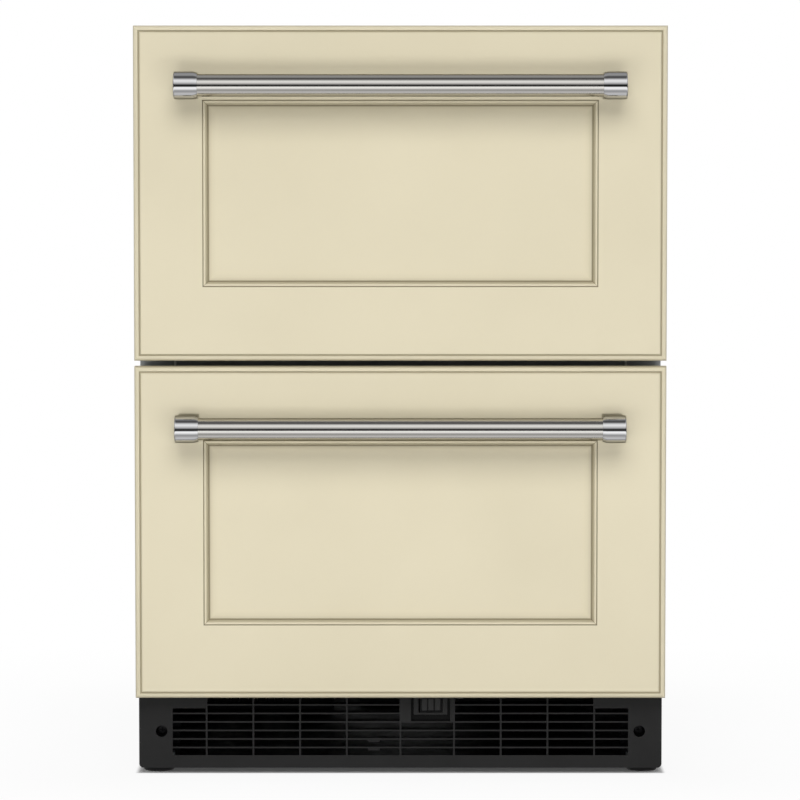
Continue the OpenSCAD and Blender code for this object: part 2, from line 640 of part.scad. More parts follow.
module condenser_shroud() color("#26282A") difference() {
    slab(cond_x[0] - plate_gap - plate_t, cond_x[1] + plate_gap + plate_t, cond_y[1], cond_y[1] + shroud_d,
        pan_top, cond_z[1] + 2 * shroud_t);
    slab(cond_x[0] - plate_gap, cond_x[1] + plate_gap, shroud_y, cond_y[1] + shroud_d + cut,
        pan_top + shroud_t, cond_z[1] + shroud_t);
    rod_y(cond_fan_x, cond_y[1] - cut, shroud_y + cut, cond_fan_z, cond_fan_r + 3);
}
module condenser_fan() color("#3A3C3E")
    fan(cond_fan_x, cond_fan_y, cond_fan_z, cond_fan_r, cond_hub_l, 4, shaft_r + seat_gap);
motor_l = 42;
motor_r = 24;
module condenser_fan_motor() color("#4A4C4E") {
    motor_y = cond_fan_y + cond_hub_l + run_gap;
    rod_y(cond_fan_x, motor_y, motor_y + motor_l, cond_fan_z, motor_r);
    rod_y(cond_fan_x, cond_fan_y + 1, motor_y + 1, cond_fan_z, shaft_r);
    slab(cond_fan_x - motor_r / 2, cond_fan_x + motor_r / 2, cond_y[1] + shroud_d + 2,
        motor_y + motor_l - 4, pan_top, cond_fan_z);
}

// Copper lines: each is straight runs with round elbows
line_r = 3;
line_x = 20;
line_y = y_back - sheet_t - foam_t / 2;
module line_through(points, r) for (i = [0:len(points) - 2]) {
    step = points[i + 1] - points[i];
    size = norm(step);
    translate(points[i]) rotate([0, acos(step[2] / size), atan2(step[1], step[0])]) cylinder(r = r, h = size);
    if (i > 0) translate(points[i]) sphere(r);
}
evap_line_z = evap_z[0] + 30;
module line_path(r) line_through([[line_x, line_y, machine_h - 20], [line_x, line_y, evap_line_z],
    [line_x, evap_y[1] + 1, evap_line_z]], r);
drier_r = 8;
drier_x = cond_x[1] + 37;
discharge_z = suction_z - 6.3;
module refrigerant_lines() color("#B5713C") {
    coil_y = cond_tube_y[1];
    line_path(line_r);
    line_through([[line_x, line_y, machine_h - 20], [line_x, comp_y, machine_h - 20],
        [stub_x, comp_y, machine_h - 20], [stub_x, comp_y, suction_z + 2]], line_r);
    line_through([[cond_x[1] + plate_gap + plate_t, coil_y, cond_tube_z], [drier_x, coil_y, cond_tube_z],
        [drier_x, coil_y, discharge_z], [drier_x, stub_y, discharge_z],
        [stub_x - 2 * line_r - 2, stub_y, discharge_z]], line_r);
    rod_z(drier_x, coil_y, discharge_z - 80, discharge_z - 20, drier_r);
}
drain_size = [90, 90, 26];
drain_t = 2;
drain_x0 = (cond_x[1] + plate_gap + plate_t + comp_x - foot_dx - comp_rim - drain_size[0]) / 2;
drain_y0 = y_back - 25 - drain_size[1];
module drain_pan() color("#2E3032") difference() {
    translate([drain_x0, drain_y0, pan_top]) cube(drain_size);
    translate([drain_x0 + drain_t, drain_y0 + drain_t, pan_top + drain_t])
        cube([drain_size[0] - 2 * drain_t, drain_size[1] - 2 * drain_t, drain_size[2]]);
}
control_size = [100, 120, 34];
control_x0 = 79 - skin_half;
module control_module() color("#2C2E30")
    translate([control_x0, machine_front + 30, machine_h - control_size[2]]) cube(control_size);
light_half = liner_half - 128.5;
light_y = y_cab + 20;
light_size = [24, 6, 3];       // depth and height of the housing, and its lens below it
light_rim = 4;
module light_bar() color("#F8F8F4") {
    slab(-light_half, light_half, light_y, light_y + light_size[0], liner_top - light_size[1], liner_top);
    slab(light_rim - light_half, light_half - light_rim, light_y + light_rim,
        light_y + light_size[0] - light_rim,
        liner_top - light_size[1] - light_size[2], liner_top - light_size[1]);
}

// Toe grille
grille_top = duct_top - run_gap;
slot_top = grille_top - 3.5;
slat_top = slot_top - slat_drop;             // middle of the top slat
slat_low = slat_top - (slat_count - 1) * slat_pitch;
slot_low = slat_low - slat_pitch + slat_t / 2;
rib_xs = [0, middle_column_w, middle_column_w + column_w, middle_column_w + 2 * column_w,
    middle_column_w + 3 * column_w];
end_column_w = grille_half - rib_xs[4] - 38.6;
end_slot_top = slat_top - 3.9;               // the end columns' first slot is a low one
bezel_x = middle_column_w / 2 + 3.85;
bezel_z = slot_top - bezel_h / 2;
pocket_d = 4;
pocket_low = slat_top - 2 * slat_pitch + slat_t / 2;    // the pocket stands on the third slat
pocket_half = bezel_w / 2 + 3;
block_low = pocket_low - slat_t;
switch_body = [bezel_w - 6, bezel_h - 1.5, 24];
grille_screw_r = 2.5;
grille_screw_head_r = 5;
well_depth = 18;
well_wall = 2;
corner_r = 5;                                // rounded lower corners
tab_x = 24;                                  // two small tabs under the lowest slats
tab_w = 13;
tab_h = 2.5;
tab_d = 3;
module corner_cut() difference() {
    slab(grille_half - corner_r, grille_half + cut, y_grille - cut, y_cab + cut,
        grille_low - cut, grille_low + corner_r);
    rod_y(grille_half - corner_r, y_grille - 2 * cut, y_cab + 2 * cut, grille_low + corner_r, corner_r);
}
module front_grille() color("#2B2B2B") difference() {
    union() {
        difference() {
            slab(-grille_half, grille_half, y_grille, y_cab, grille_low, grille_top);
            slab(grille_wall - grille_half, grille_half - grille_wall, y_grille + grille_wall, y_cab + cut,
                grille_low - cut, grille_top - grille_wall);
            slab(-rib_xs[4], rib_xs[4], y_grille - cut, y_grille + slat_d, slot_low, slot_top);
            both_sides() slab(rib_xs[4], rib_xs[4] + end_column_w, y_grille - cut, y_grille + slat_d,
                slot_low, end_slot_top);
        }
        for (i = [0:slat_count - 1]) both_sides()
            slab(0, rib_xs[4] + (i < slat_count - 1 ? end_column_w + cut : 0), y_grille, y_grille + slat_d,
                slat_low + i * slat_pitch - slat_t / 2, slat_low + i * slat_pitch + slat_t / 2);
        both_sides() for (x = rib_xs) slab(x - rib_t / 2, x + rib_t / 2, y_grille, y_grille + slat_d,
            slot_low - cut, slot_top + cut);
        slab(0, middle_column_w, y_grille, y_grille + slat_d, block_low, slot_top + cut);
        both_sides() rod_y(screw_x, y_grille, y_cab, screw_z, screw_well_r + well_wall);
        for (i = [0, 1]) slab(-tab_x - tab_w, -tab_x, y_grille + 1, y_grille + 1 + tab_d,
            slat_low + i * slat_pitch - slat_t / 2 - tab_h, slat_low + i * slat_pitch);
    }
    both_sides() corner_cut();
    slab(bezel_x - pocket_half, bezel_x + pocket_half, y_grille - cut, y_grille + pocket_d,
        pocket_low, slot_top);
    slab(bezel_x - switch_body[0] / 2, bezel_x + switch_body[0] / 2, y_grille, y_grille + slat_d + cut,
        bezel_z - switch_body[1] / 2, bezel_z + switch_body[1] / 2);
    both_sides() {
        rod_y(screw_x, y_grille - cut, y_grille + well_depth, screw_z, screw_well_r);
        rod_y(screw_x, y_grille, y_cab + cut, screw_z, grille_screw_r + seat_gap);
    }
}
module grille_screws() color("#3A3A3A") both_sides() {
    rod_y(screw_x, y_grille + well_depth - 3, y_grille + well_depth, screw_z, grille_screw_head_r);
    rod_y(screw_x, y_grille + well_depth - cut, y_cab + pan_t + 6, screw_z, grille_screw_r);
}

// Rocker switch: the rocker turns on two stub pins in the bezel's walls
bezel_t = 2.5;
window_play = 0.8;
window_d = 17;                 // depth of the bezel's window behind the grille's face
pivot_y = y_grille + pocket_d + 3;
pin_r = 1.5;
pin_l = 1.4;
rocker_face = 5;               // the rocker's face before its pivot, at its two ends
rocker_dish = 1.6;             // how far the face dips in the middle
rocker_edge = 1;               // sides of the rocker before its pivot
rocker_keel = [4, 3.5];        // half width and depth of its rear
module switch_bezel() color("#1A1A1A") difference() {
    union() {
        slab(bezel_x - bezel_w / 2, bezel_x + bezel_w / 2, y_grille + pocket_d - bezel_t,
            y_grille + pocket_d, bezel_z - bezel_h / 2, bezel_z + bezel_h / 2);
        slab(bezel_x - switch_body[0] / 2, bezel_x + switch_body[0] / 2, y_grille + pocket_d - 1,
            y_grille + pocket_d + switch_body[2], bezel_z - switch_body[1] / 2, bezel_z + switch_body[1] / 2);
    }
    slab(bezel_x - rocker_w / 2 - window_play, bezel_x + rocker_w / 2 + window_play,
        y_grille - cut, y_grille + window_d, bezel_z - rocker_h / 2 - run_gap,
        bezel_z + rocker_h / 2 + run_gap);
    rod_z(bezel_x, pivot_y, bezel_z - rocker_h / 2 - pin_l - seat_gap,
        bezel_z + rocker_h / 2 + pin_l + seat_gap, pin_r + seat_gap);
}
module switch_rocker() color("#141414") translate([bezel_x, pivot_y, bezel_z]) {
    w = rocker_w / 2;
    rotate([0, 0, rocker_tilt]) translate([0, 0, -rocker_h / 2]) linear_extrude(rocker_h)
        polygon([[-w, -rocker_face], [-w, -rocker_edge], [-rocker_keel[0], rocker_keel[1]],
            rocker_keel, [w, -rocker_edge], [w, -rocker_face], [0, rocker_dish - rocker_face]]);
    translate([0, 0, -rocker_h / 2 - pin_l]) cylinder(r = pin_r, h = rocker_h + 2 * pin_l);
}

panel_frame(upper_z);  // upper_panel_frame
panel_field(upper_z);  // upper_panel_field
handle_bar(upper_z);  // upper_handle_bar
handle_ends(upper_z);  // upper_handle_ends
handle_screws(upper_z);  // upper_handle_screws
door_shell(upper_z);  // upper_door_shell
door_foam(upper_z);  // upper_door_foam
door_liner(upper_z);  // upper_door_liner
door_gasket(upper_z);  // upper_door_gasket
upper_drawer_bin();
slide_drawer_members(upper_slide_z);  // upper_slide_drawer_members
slide_middle_members(upper_slide_z);  // upper_slide_middle_members
slide_cabinet_members(upper_slide_z);  // upper_slide_cabinet_members
panel_frame(lower_z);  // lower_panel_frame
panel_field(lower_z);  // lower_panel_field
handle_bar(lower_z);  // lower_handle_bar
handle_ends(lower_z);  // lower_handle_ends
handle_screws(lower_z);  // lower_handle_screws
door_shell(lower_z);  // lower_door_shell
door_foam(lower_z);  // lower_door_foam
door_liner(lower_z);  // lower_door_liner
door_gasket(lower_z);  // lower_door_gasket
lower_drawer_bin();
slide_drawer_members(lower_slide_z);  // lower_slide_drawer_members
slide_middle_members(lower_slide_z);  // lower_slide_middle_members
slide_cabinet_members(lower_slide_z);  // lower_slide_cabinet_members
cabinet_wrapper();
cabinet_floor();
cabinet_back();
foam_insulation();
cabinet_liner();
center_mullion();
base_pan();
leg_nut_plates();
mounting_brackets();
rear_machine_cover();
power_inlet();
evaporator();
evaporator_cover();
evaporator_fan();
evaporator_fan_motor();
compressor();
compressor_grommets();
start_relay_box();
condenser_coil();
condenser_fan();
condenser_fan_motor();
condenser_shroud();
refrigerant_lines();
drain_pan();
control_module();
light_bar();
front_grille();
grille_screws();
switch_bezel();
switch_rocker();
levelling_leg(-leg_x, leg_ys[0]);  // leg_front_left
levelling_leg(leg_x, leg_ys[0]);  // leg_front_right
levelling_leg(-leg_x, leg_ys[1]);  // leg_rear_left
levelling_leg(leg_x, leg_ys[1]);  // leg_rear_right
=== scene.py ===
import json
import math

import bmesh
import bpy
from mathutils import Matrix, Vector


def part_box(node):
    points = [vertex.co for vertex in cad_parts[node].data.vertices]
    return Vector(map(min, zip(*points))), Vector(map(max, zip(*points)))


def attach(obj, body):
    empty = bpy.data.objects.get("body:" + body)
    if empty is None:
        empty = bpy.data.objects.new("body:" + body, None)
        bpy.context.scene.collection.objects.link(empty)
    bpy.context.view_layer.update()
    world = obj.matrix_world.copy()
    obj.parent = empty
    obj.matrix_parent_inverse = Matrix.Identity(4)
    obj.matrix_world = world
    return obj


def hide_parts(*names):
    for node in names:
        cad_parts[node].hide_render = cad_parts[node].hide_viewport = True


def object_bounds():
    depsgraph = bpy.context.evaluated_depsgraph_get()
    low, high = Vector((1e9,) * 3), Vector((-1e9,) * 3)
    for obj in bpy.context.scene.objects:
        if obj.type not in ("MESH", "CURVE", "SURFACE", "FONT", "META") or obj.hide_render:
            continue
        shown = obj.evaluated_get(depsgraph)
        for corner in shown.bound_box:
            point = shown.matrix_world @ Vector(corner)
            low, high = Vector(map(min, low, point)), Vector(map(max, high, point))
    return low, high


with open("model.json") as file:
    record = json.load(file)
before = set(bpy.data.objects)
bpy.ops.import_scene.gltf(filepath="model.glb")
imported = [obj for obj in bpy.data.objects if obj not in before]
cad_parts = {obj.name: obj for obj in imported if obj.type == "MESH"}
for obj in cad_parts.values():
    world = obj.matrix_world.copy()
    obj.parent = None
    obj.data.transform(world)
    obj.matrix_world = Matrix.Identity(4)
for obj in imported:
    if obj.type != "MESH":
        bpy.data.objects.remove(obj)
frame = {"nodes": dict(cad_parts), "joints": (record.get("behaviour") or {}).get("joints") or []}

cadLow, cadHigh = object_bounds()
mm = 0.001  # the dictionaries of pieces hold millimetres, and the frame gives places in metres
close, exact = 1 * mm, 0.001 * mm  # within these a point counts as beside a place, and as at it
scene = bpy.context.scene
scene.view_settings.view_transform = "Standard"
print("frame loaded")


# small tools for modelling

def selectNothing():
    if bpy.context.object and bpy.context.object.mode != "OBJECT":
        bpy.ops.object.mode_set(mode="OBJECT")
    bpy.ops.object.select_all(action="DESELECT")


def makeActive(piece):
    selectNothing()
    piece.select_set(True)
    bpy.context.view_layer.objects.active = piece


def bakePlace(piece, name):  # the place goes into the mesh, and the object stays at the origin
    piece.name = piece.data.name = name
    makeActive(piece)
    bpy.ops.object.transform_apply(location=True, rotation=True, scale=True)
    return piece


def addBlock(name, low, high):  # a cube primitive between two corners
    selectNothing()
    low, high = Vector(low), Vector(high)
    bpy.ops.mesh.primitive_cube_add(size=1, location=(low + high) / 2)
    bpy.context.object.scale = high - low
    return bakePlace(bpy.context.object, name)


def addDrum(name, centre, radius, depth, axis, sides):  # a cylinder primitive along X or Y
    selectNothing()
    turns = {"X": (0, math.pi / 2, 0), "Y": (-math.pi / 2, 0, 0)}
    bpy.ops.mesh.primitive_cylinder_add(vertices=sides, radius=radius, depth=depth,
                                        location=centre, rotation=turns[axis])
    return bakePlace(bpy.context.object, name)


def enterEdit(piece, kind):
    if piece.mode != "EDIT":
        makeActive(piece)
        bpy.ops.object.mode_set(mode="EDIT")
    bpy.ops.mesh.select_mode(type=kind)
    bpy.ops.mesh.select_all(action="DESELECT")
    return bmesh.from_edit_mesh(piece.data)


facing = 0.9  # a face looks along an axis where its normal has at least this share there


def pickFaces(piece, test):  # selects the faces whose middle and normal pass a test
    mesh = enterEdit(piece, "FACE")
    for face in mesh.faces:
        face.select_set(test(face.calc_center_median(), face.normal))
    bmesh.update_edit_mesh(piece.data)


def pickEdges(piece, test):  # selects the edges whose two ends pass a test
    mesh = enterEdit(piece, "EDGE")
    for edge in mesh.edges:
        if test(edge.verts[0].co, edge.verts[1].co):
            edge.select_set(True)
    bmesh.update_edit_mesh(piece.data)


def applyModifier(piece, kind, **settings):
    makeActive(piece)
    modifier = piece.modifiers.new("step", kind)
    for name, value in settings.items():
        setattr(modifier, name, value)
    bpy.ops.object.modifier_apply(modifier="step")


def shade(piece, angle=35):  # smooth over rounded edges, while the flats between them stay flat
    makeActive(piece)
    bpy.ops.object.shade_smooth_by_angle(angle=math.radians(angle))
    applyModifier(piece, "WEIGHTED_NORMAL", keep_sharp=True)


def soften(piece, width, segments=2, angle=40):  # rounds every sharp edge
    applyModifier(piece, "BEVEL", width=width, segments=segments, limit_method="ANGLE",
                  angle_limit=math.radians(angle))
    shade(piece)


def softenLong(piece, width, least, angle=40):  # rounds long sharp edges, and leaves small holes sharp
    mesh = enterEdit(piece, "EDGE")
    for edge in mesh.edges:
        edge.select_set(edge.calc_length() > least and edge.calc_face_angle(0) > math.radians(angle))
    bmesh.update_edit_mesh(piece.data)
    bpy.ops.mesh.bevel(offset=width, segments=2, affect="EDGES", clamp_overlap=True)
    bpy.ops.object.mode_set(mode="OBJECT")
    shade(piece)


def cutWith(piece, cutter, operation="DIFFERENCE"):
    applyModifier(piece, "BOOLEAN", object=cutter, operation=operation, solver="EXACT")
    bpy.data.objects.remove(cutter)


def joinPieces(name, pieces):
    selectNothing()
    for piece in pieces:
        piece.select_set(True)
    bpy.context.view_layer.objects.active = pieces[0]
    bpy.ops.object.join()
    return bakePlace(bpy.context.object, name)


def copyPiece(piece, name, shift=(0, 0, 0)):  # a copy with its own mesh
    twin = piece.copy()
    twin.data = piece.data.copy()
    twin.name = twin.data.name = name
    twin.data.transform(Matrix.Translation(Vector(shift)))
    scene.collection.objects.link(twin)
    return twin


def mirrorPiece(piece, name):  # the same piece on the other side of the middle plane
    twin = copyPiece(piece, name)
    twin.data.transform(Matrix.Scale(-1, 4, Vector((1, 0, 0))))
    enterEdit(twin, "VERT")
    bpy.ops.mesh.select_all(action="SELECT")
    bpy.ops.mesh.remove_doubles(threshold=exact)
    bpy.ops.mesh.normals_make_consistent(inside=False)
    bpy.ops.object.mode_set(mode="OBJECT")
    return twin


def copyNode(node, name):  # a CAD node's shape as a clean mesh of flat faces
    source = frame["nodes"][node]
    twin = bpy.data.objects.new(name, source.data.copy())
    twin.data.name = name
    scene.collection.objects.link(twin)
    enterEdit(twin, "VERT")
    bpy.ops.mesh.select_all(action="SELECT")
    bpy.ops.mesh.remove_doubles(threshold=0.01 * mm)
    bpy.ops.mesh.dissolve_limited(angle_limit=math.radians(0.5))
    bpy.ops.mesh.vert_connect_concave()
    bpy.ops.object.mode_set(mode="OBJECT")
    return twin


def splitFaces(piece, point, normal):  # cuts the faces in two where a plane crosses them
    enterEdit(piece, "FACE")
    bpy.ops.mesh.select_all(action="SELECT")
    bpy.ops.mesh.bisect(plane_co=point, plane_no=normal)


def insetSteps(steps):  # a profile on the selected faces: each step is how far inward and how far out
    for inward, raised in steps:
        bpy.ops.mesh.inset(thickness=inward * mm, depth=raised * mm, use_even_offset=True)


def finishPiece(piece, body, surfaces, replaced=()):
    selectNothing()
    surfaces = surfaces if isinstance(surfaces, list) else [surfaces]
    kept = [polygon.material_index for polygon in piece.data.polygons]
    piece.data.materials.clear()
    for surface in surfaces:
        piece.data.materials.append(surface)
    for polygon, index in zip(piece.data.polygons, kept):
        polygon.material_index = index if index < len(surfaces) else 0
    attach(piece, body)
    if replaced:
        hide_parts(*replaced)
    return piece


def dressNode(node, surface):  # a CAD node keeps its shape and gets its finish
    mesh = frame["nodes"][node].data
    mesh.materials.clear()
    mesh.materials.append(surface)


# small tools for materials

def linear(hexColour):  # sRGB hex to the linear values that shaders take
    parts = [int(hexColour[i:i + 2], 16) / 255 for i in (1, 3, 5)]
    return [p / 12.92 if p <= 0.04045 else ((p + 0.055) / 1.055) ** 2.4 for p in parts] + [1.0]


def addNode(tree, kind, settings=None, inputs=None):  # a node with its settings, and its values and links
    node = tree.nodes.new("ShaderNode" + kind)
    for name, value in (settings or {}).items():
        setattr(node, name, value)
    for name, value in (inputs or {}).items():
        if isinstance(value, bpy.types.NodeSocket):
            tree.links.new(value, node.inputs[name])
        else:
            node.inputs[name].default_value = value
    return node


def newSurface(name, colour, roughness, metallic=0.0, more=None):  # more holds other sockets and their values
    surface = bpy.data.materials.new(name)
    surface.use_nodes = True
    shader = surface.node_tree.nodes["Principled BSDF"]
    sockets = {"Base Color": linear(colour), "Roughness": roughness, "Metallic": metallic, **(more or {})}
    for socket, value in sockets.items():
        shader.inputs[socket].default_value = value
    return surface, surface.node_tree, shader


def grainNode(tree, size, stretch=(1, 1, 1), detail=2.0):  # noise whose grain is size millimetres wide
    place = addNode(tree, "TexCoord").outputs["Object"]
    spread = addNode(tree, "Mapping", inputs={"Vector": place, "Scale": stretch})
    return addNode(tree, "TexNoise", inputs={
        "Vector": spread.outputs["Vector"], "Scale": 1 / (size * mm), "Detail": detail}).outputs["Fac"]


def setRamp(node, steps):  # a ramp of greys from pairs of place and level
    points = node.color_ramp.elements
    points.remove(points[1])
    points[0].position = 0.0
    for place, level in steps:
        points.new(place).color = (level, level, level, 1)
    points.remove(points[0])


grainRange = (0.3, 0.7)  # noise seldom leaves this range


def varyColour(tree, shader, grain, dark, light, reach=grainRange):  # drifts between two shades
    ramp = addNode(tree, "ValToRGB", inputs={"Fac": grain})
    darkEnd, lightEnd = ramp.color_ramp.elements
    darkEnd.position, lightEnd.position = reach
    darkEnd.color, lightEnd.color = linear(dark), linear(light)
    tree.links.new(ramp.outputs["Color"], shader.inputs["Base Color"])
    return ramp.outputs["Color"]


def varyRoughness(tree, shader, grain, low, high):
    spread = addNode(tree, "MapRange", inputs={
        "Value": grain, "From Min": grainRange[0], "From Max": grainRange[1], "To Min": low, "To Max": high})
    tree.links.new(spread.outputs["Result"], shader.inputs["Roughness"])


def addBump(tree, shader, grain, depth, strength=1.0):  # depth in millimetres
    bump = addNode(tree, "Bump", inputs={"Height": grain, "Distance": depth * mm, "Strength": strength})
    tree.links.new(bump.outputs["Normal"], shader.inputs["Normal"])


# places from the frame, in metres

frontLow, frontHigh = {}, {}
for storey in ("upper", "lower"):
    frontLow[storey], frontHigh[storey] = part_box(storey + "_panel_frame")
panelFront, panelBack = frontLow["upper"].y, frontHigh["upper"].y
grilleLow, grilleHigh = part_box("front_grille")


# camera

camera = {"distance": 4.3, "below top": 0.1605, "pitch": 3.505,  # metres and degrees
          "lens": 170.64, "sensor": 36, "shift": -0.0005, "sees to": 50}
cameraData = bpy.data.cameras.new("camera")
cameraObject = bpy.data.objects.new("camera", cameraData)
scene.collection.objects.link(cameraObject)
cameraObject.location = (0, panelFront - camera["distance"], frontHigh["upper"].z - camera["below top"])
cameraObject.rotation_euler = (math.radians(90 - camera["pitch"]), 0, 0)
cameraData.lens, cameraData.sensor_width = camera["lens"], camera["sensor"]
cameraData.shift_x, cameraData.clip_end = camera["shift"], camera["sees to"]
scene.camera = cameraObject
print("camera set")


# studio: white backdrop, soft lamps, and the dark and bright strips that polished metal mirrors

studio = {
    "world light": 0.18,
    "strips": [  # height of the mirrored direction as its sine, and the brightness there
        (-1.0, 0.9), (-0.97, 0.9), (-0.90, 0.72), (-0.80, 0.5), (-0.70, 0.6), (-0.55, 1.25),
        (-0.40, 1.65), (-0.30, 1.5), (-0.22, 0.6), (-0.17, 0.04), (-0.03, 0.02), (0.06, 0.06),
        (0.14, 0.25), (0.22, 0.6), (0.36, 0.95), (0.48, 1.2), (0.60, 1.45), (0.73, 1.1),
        (0.81, 0.7), (0.88, 0.2), (0.96, 0.1), (1.0, 0.25)],
    "front ends": (-0.12, 0.06), "even level": 0.5,  # past the front half the mirrored studio is an even grey
    "lamps": [  # place, aim, width, height, watts
        ((0, -1.9, 0.12), (0, -0.27, 0.3), 1.5, 0.6, 13.5),  # low in front
        ((0, -4.0, 3.0), (0, -0.27, 0.45), 2.8, 2.2, 113),  # high in front
        ((0, 0.35, 2.6), (0, 0.1, 0), 2.4, 1.8, 15),  # above
        ((-2.4, 0.5, 1.2), (0, 0.1, 0.4), 1.8, 1.8, 26),  # one side
        ((2.4, 0.5, 1.2), (0, 0.1, 0.4), 1.8, 1.8, 26),  # the other side
        ((0, 2.7, 1.4), (0, 0.3, 0.4), 2.0, 1.8, 26),  # behind
    ],
}
pureWhite = (1, 1, 1, 1)
world = bpy.data.worlds.new("studio")
scene.world = world
world.use_nodes = True
worldTree = world.node_tree
worldTree.nodes.clear()
rayKind = addNode(worldTree, "LightPath")
lookedAt = addNode(worldTree, "TexCoord").outputs["Generated"]
direction = addNode(worldTree, "SeparateXYZ", inputs={"Vector": lookedAt})
height = addNode(worldTree, "MapRange", inputs={
    "Value": direction.outputs["Z"], "From Min": -1.0, "From Max": 1.0})
strips = addNode(worldTree, "ValToRGB", inputs={"Fac": height.outputs["Result"]})
setRamp(strips, [((sine + 1) / 2, level) for sine, level in studio["strips"]])
frontFades, frontEnds = studio["front ends"]
beyond = addNode(worldTree, "MapRange", inputs={
    "Value": direction.outputs["Y"], "From Min": frontFades, "From Max": frontEnds})
evenGrey = [studio["even level"]] * 3 + [1]
room = addNode(worldTree, "MixRGB", inputs={
    "Fac": beyond.outputs["Result"], "Color1": strips.outputs["Color"], "Color2": evenGrey})
mirrored = addNode(worldTree, "Background", inputs={"Color": room.outputs["Color"], "Strength": 1.0})
seen = addNode(worldTree, "Background", inputs={"Color": pureWhite, "Strength": 1.0})
lighting = addNode(worldTree, "Background", inputs={"Color": pureWhite, "Strength": studio["world light"]})
plain = addNode(worldTree, "Math", {"operation": "MAXIMUM"}, {
    0: rayKind.outputs["Is Camera Ray"], 1: rayKind.outputs["Is Transmission Ray"]})
backdrop = addNode(worldTree, "MixShader", inputs={
    0: plain.outputs[0], 1: lighting.outputs[0], 2: seen.outputs[0]})
withMetal = addNode(worldTree, "MixShader", inputs={
    0: rayKind.outputs["Is Glossy Ray"], 1: backdrop.outputs[0], 2: mirrored.outputs[0]})
addNode(worldTree, "OutputWorld", inputs={"Surface": withMetal.outputs[0]})

for number, (place, aim, width, length, watts) in enumerate(studio["lamps"]):
    lampData = bpy.data.lights.new("softbox%d" % number, "AREA")
    lampData.shape, lampData.size, lampData.size_y, lampData.energy = "RECTANGLE", width, length, watts
    lamp = bpy.data.objects.new("softbox%d" % number, lampData)
    lamp.location = place
    lamp.rotation_euler = (Vector(aim) - Vector(place)).to_track_quat("-Z", "Y").to_euler()
    lamp.visible_glossy = lamp.visible_camera = False
    scene.collection.objects.link(lamp)

# the paper is seen white, apart from the shade under the object and a faint shade round it
paper = {"side": 30.0, "colour": "#C4C4C4", "roughness": 0.9,
         "reach": 0.6, "white": [(0.0, 0.05), (0.008, 0.92), (0.4, 0.97), (1.0, 1.0)]}
selectNothing()
bpy.ops.mesh.primitive_plane_add(size=paper["side"], location=(0, 0, 0))
floor = bpy.context.object
floor.name = "floor"
floorSurface, tree, shader = newSurface("white backdrop paper", paper["colour"], paper["roughness"])
footMiddle = Vector((0, (grilleLow.y + cadHigh.y) / 2, 0))
footHalf = Vector((grilleHigh.x, (cadHigh.y - grilleLow.y) / 2, 1))
fromMiddle = addNode(tree, "VectorMath", {"operation": "SUBTRACT"}, {
    0: addNode(tree, "TexCoord").outputs["Object"], 1: footMiddle})
spot = addNode(tree, "VectorMath", {"operation": "ABSOLUTE"}, {0: fromMiddle.outputs["Vector"]})
past = addNode(tree, "VectorMath", {"operation": "SUBTRACT"}, {0: spot.outputs["Vector"], 1: footHalf})
beside = addNode(tree, "VectorMath", {"operation": "MAXIMUM"}, {0: past.outputs["Vector"], 1: (0, 0, 0)})
reach = addNode(tree, "VectorMath", {"operation": "LENGTH"}, {0: beside.outputs["Vector"]})
away = addNode(tree, "MapRange", inputs={"Value": reach.outputs["Value"], "From Max": paper["reach"]})
whiteness = addNode(tree, "ValToRGB", inputs={"Fac": away.outputs["Result"]})
setRamp(whiteness, paper["white"])
kind = addNode(tree, "LightPath")
seenFar = addNode(tree, "Math", {"operation": "MULTIPLY"}, {
    0: whiteness.outputs["Color"], 1: kind.outputs["Is Camera Ray"]})
glow = addNode(tree, "Emission", inputs={"Color": pureWhite, "Strength": 1.0})
blend = addNode(tree, "MixShader", inputs={0: seenFar.outputs[0], 1: shader.outputs[0], 2: glow.outputs[0]})
tree.links.new(blend.outputs[0], tree.nodes["Material Output"].inputs["Surface"])
floor.data.materials.append(floorSurface)
floor.visible_glossy = False
print("studio set")


front = {
    "rim radius": 5.0, "rim steps": 6,
    "bead": [(0.3, 0), (0.35, -0.9), (0.45, -0.3), (0.9, 0), (0.45, 0.3), (0.35, 0.9)],
    "moulding": [(0.35, -0.8), (0.35, 0), (0.3, 0.75), (0.5, 0.1), (1.0, -0.15), (0.6, -0.45),
                 (0.6, -1.1), (0.6, -1.5), (0.6, -1.4), (0.55, -0.9), (0.3, -0.35), (0.3, -1.8)],
    "dado": 9.0, "play": 0.5,  # the groove that holds the field, and the field's room in it
    "field edge": 0.4,
}


def frameWidths(storey):  # how wide the frame's stiles and rails are with their moulding, in metres
    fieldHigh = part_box(storey + "_panel_field")[1]
    hidden = (front["dado"] - front["play"]) * mm
    return frontHigh[storey].x - fieldHigh.x + hidden, frontHigh[storey].z - fieldHigh.z + hidden


# materials

frontPaint = {
    "colour": "#DDD4B9", "shade": "#D9D0B5", "glaze": "#6E6345",
    "groove": 6.5,  # its distance from the front's edge
    # both profiles use the glaze colour: the rim's puts glaze with painted shade round it in the groove, and
    # darkens toward the front's rounded edge; the field's puts glaze lines at the crease and the moulding's
    # edge, and painted shade on the field beside the crease and on the moulding's slope
    "rim glaze and painted shade": [(-2.4, 0), (-1.0, 0.18), (-0.5, 0.6), (0.1, 0.72), (0.7, 0.6), (1.2, 0.1), (1.8, 0.04),
                  (4.8, 0.06), (5.6, 0.3), (6.2, 0.55), (6.42, 0)],  # the flat side of the front stays clean
    "field glaze and painted shade": [(-9.5, 0), (-5.0, 0.06), (-1.4, 0.2), (-0.5, 0.75), (0.4, 0.85), (1.0, 0.42), (2.4, 0.30),
                    (3.2, 0.06), (4.9, 0), (5.3, 0.25), (5.7, 0.9), (6.15, 0.9), (6.5, 0.1), (7.0, 0)],
    "profile reach": 10,  # both profiles hold distances up to this
    "mitre reach": 5.6, "mitre line": (0.1, 0.6), "mitre share": 0.7,  # a thin line of glaze on each mitre
}


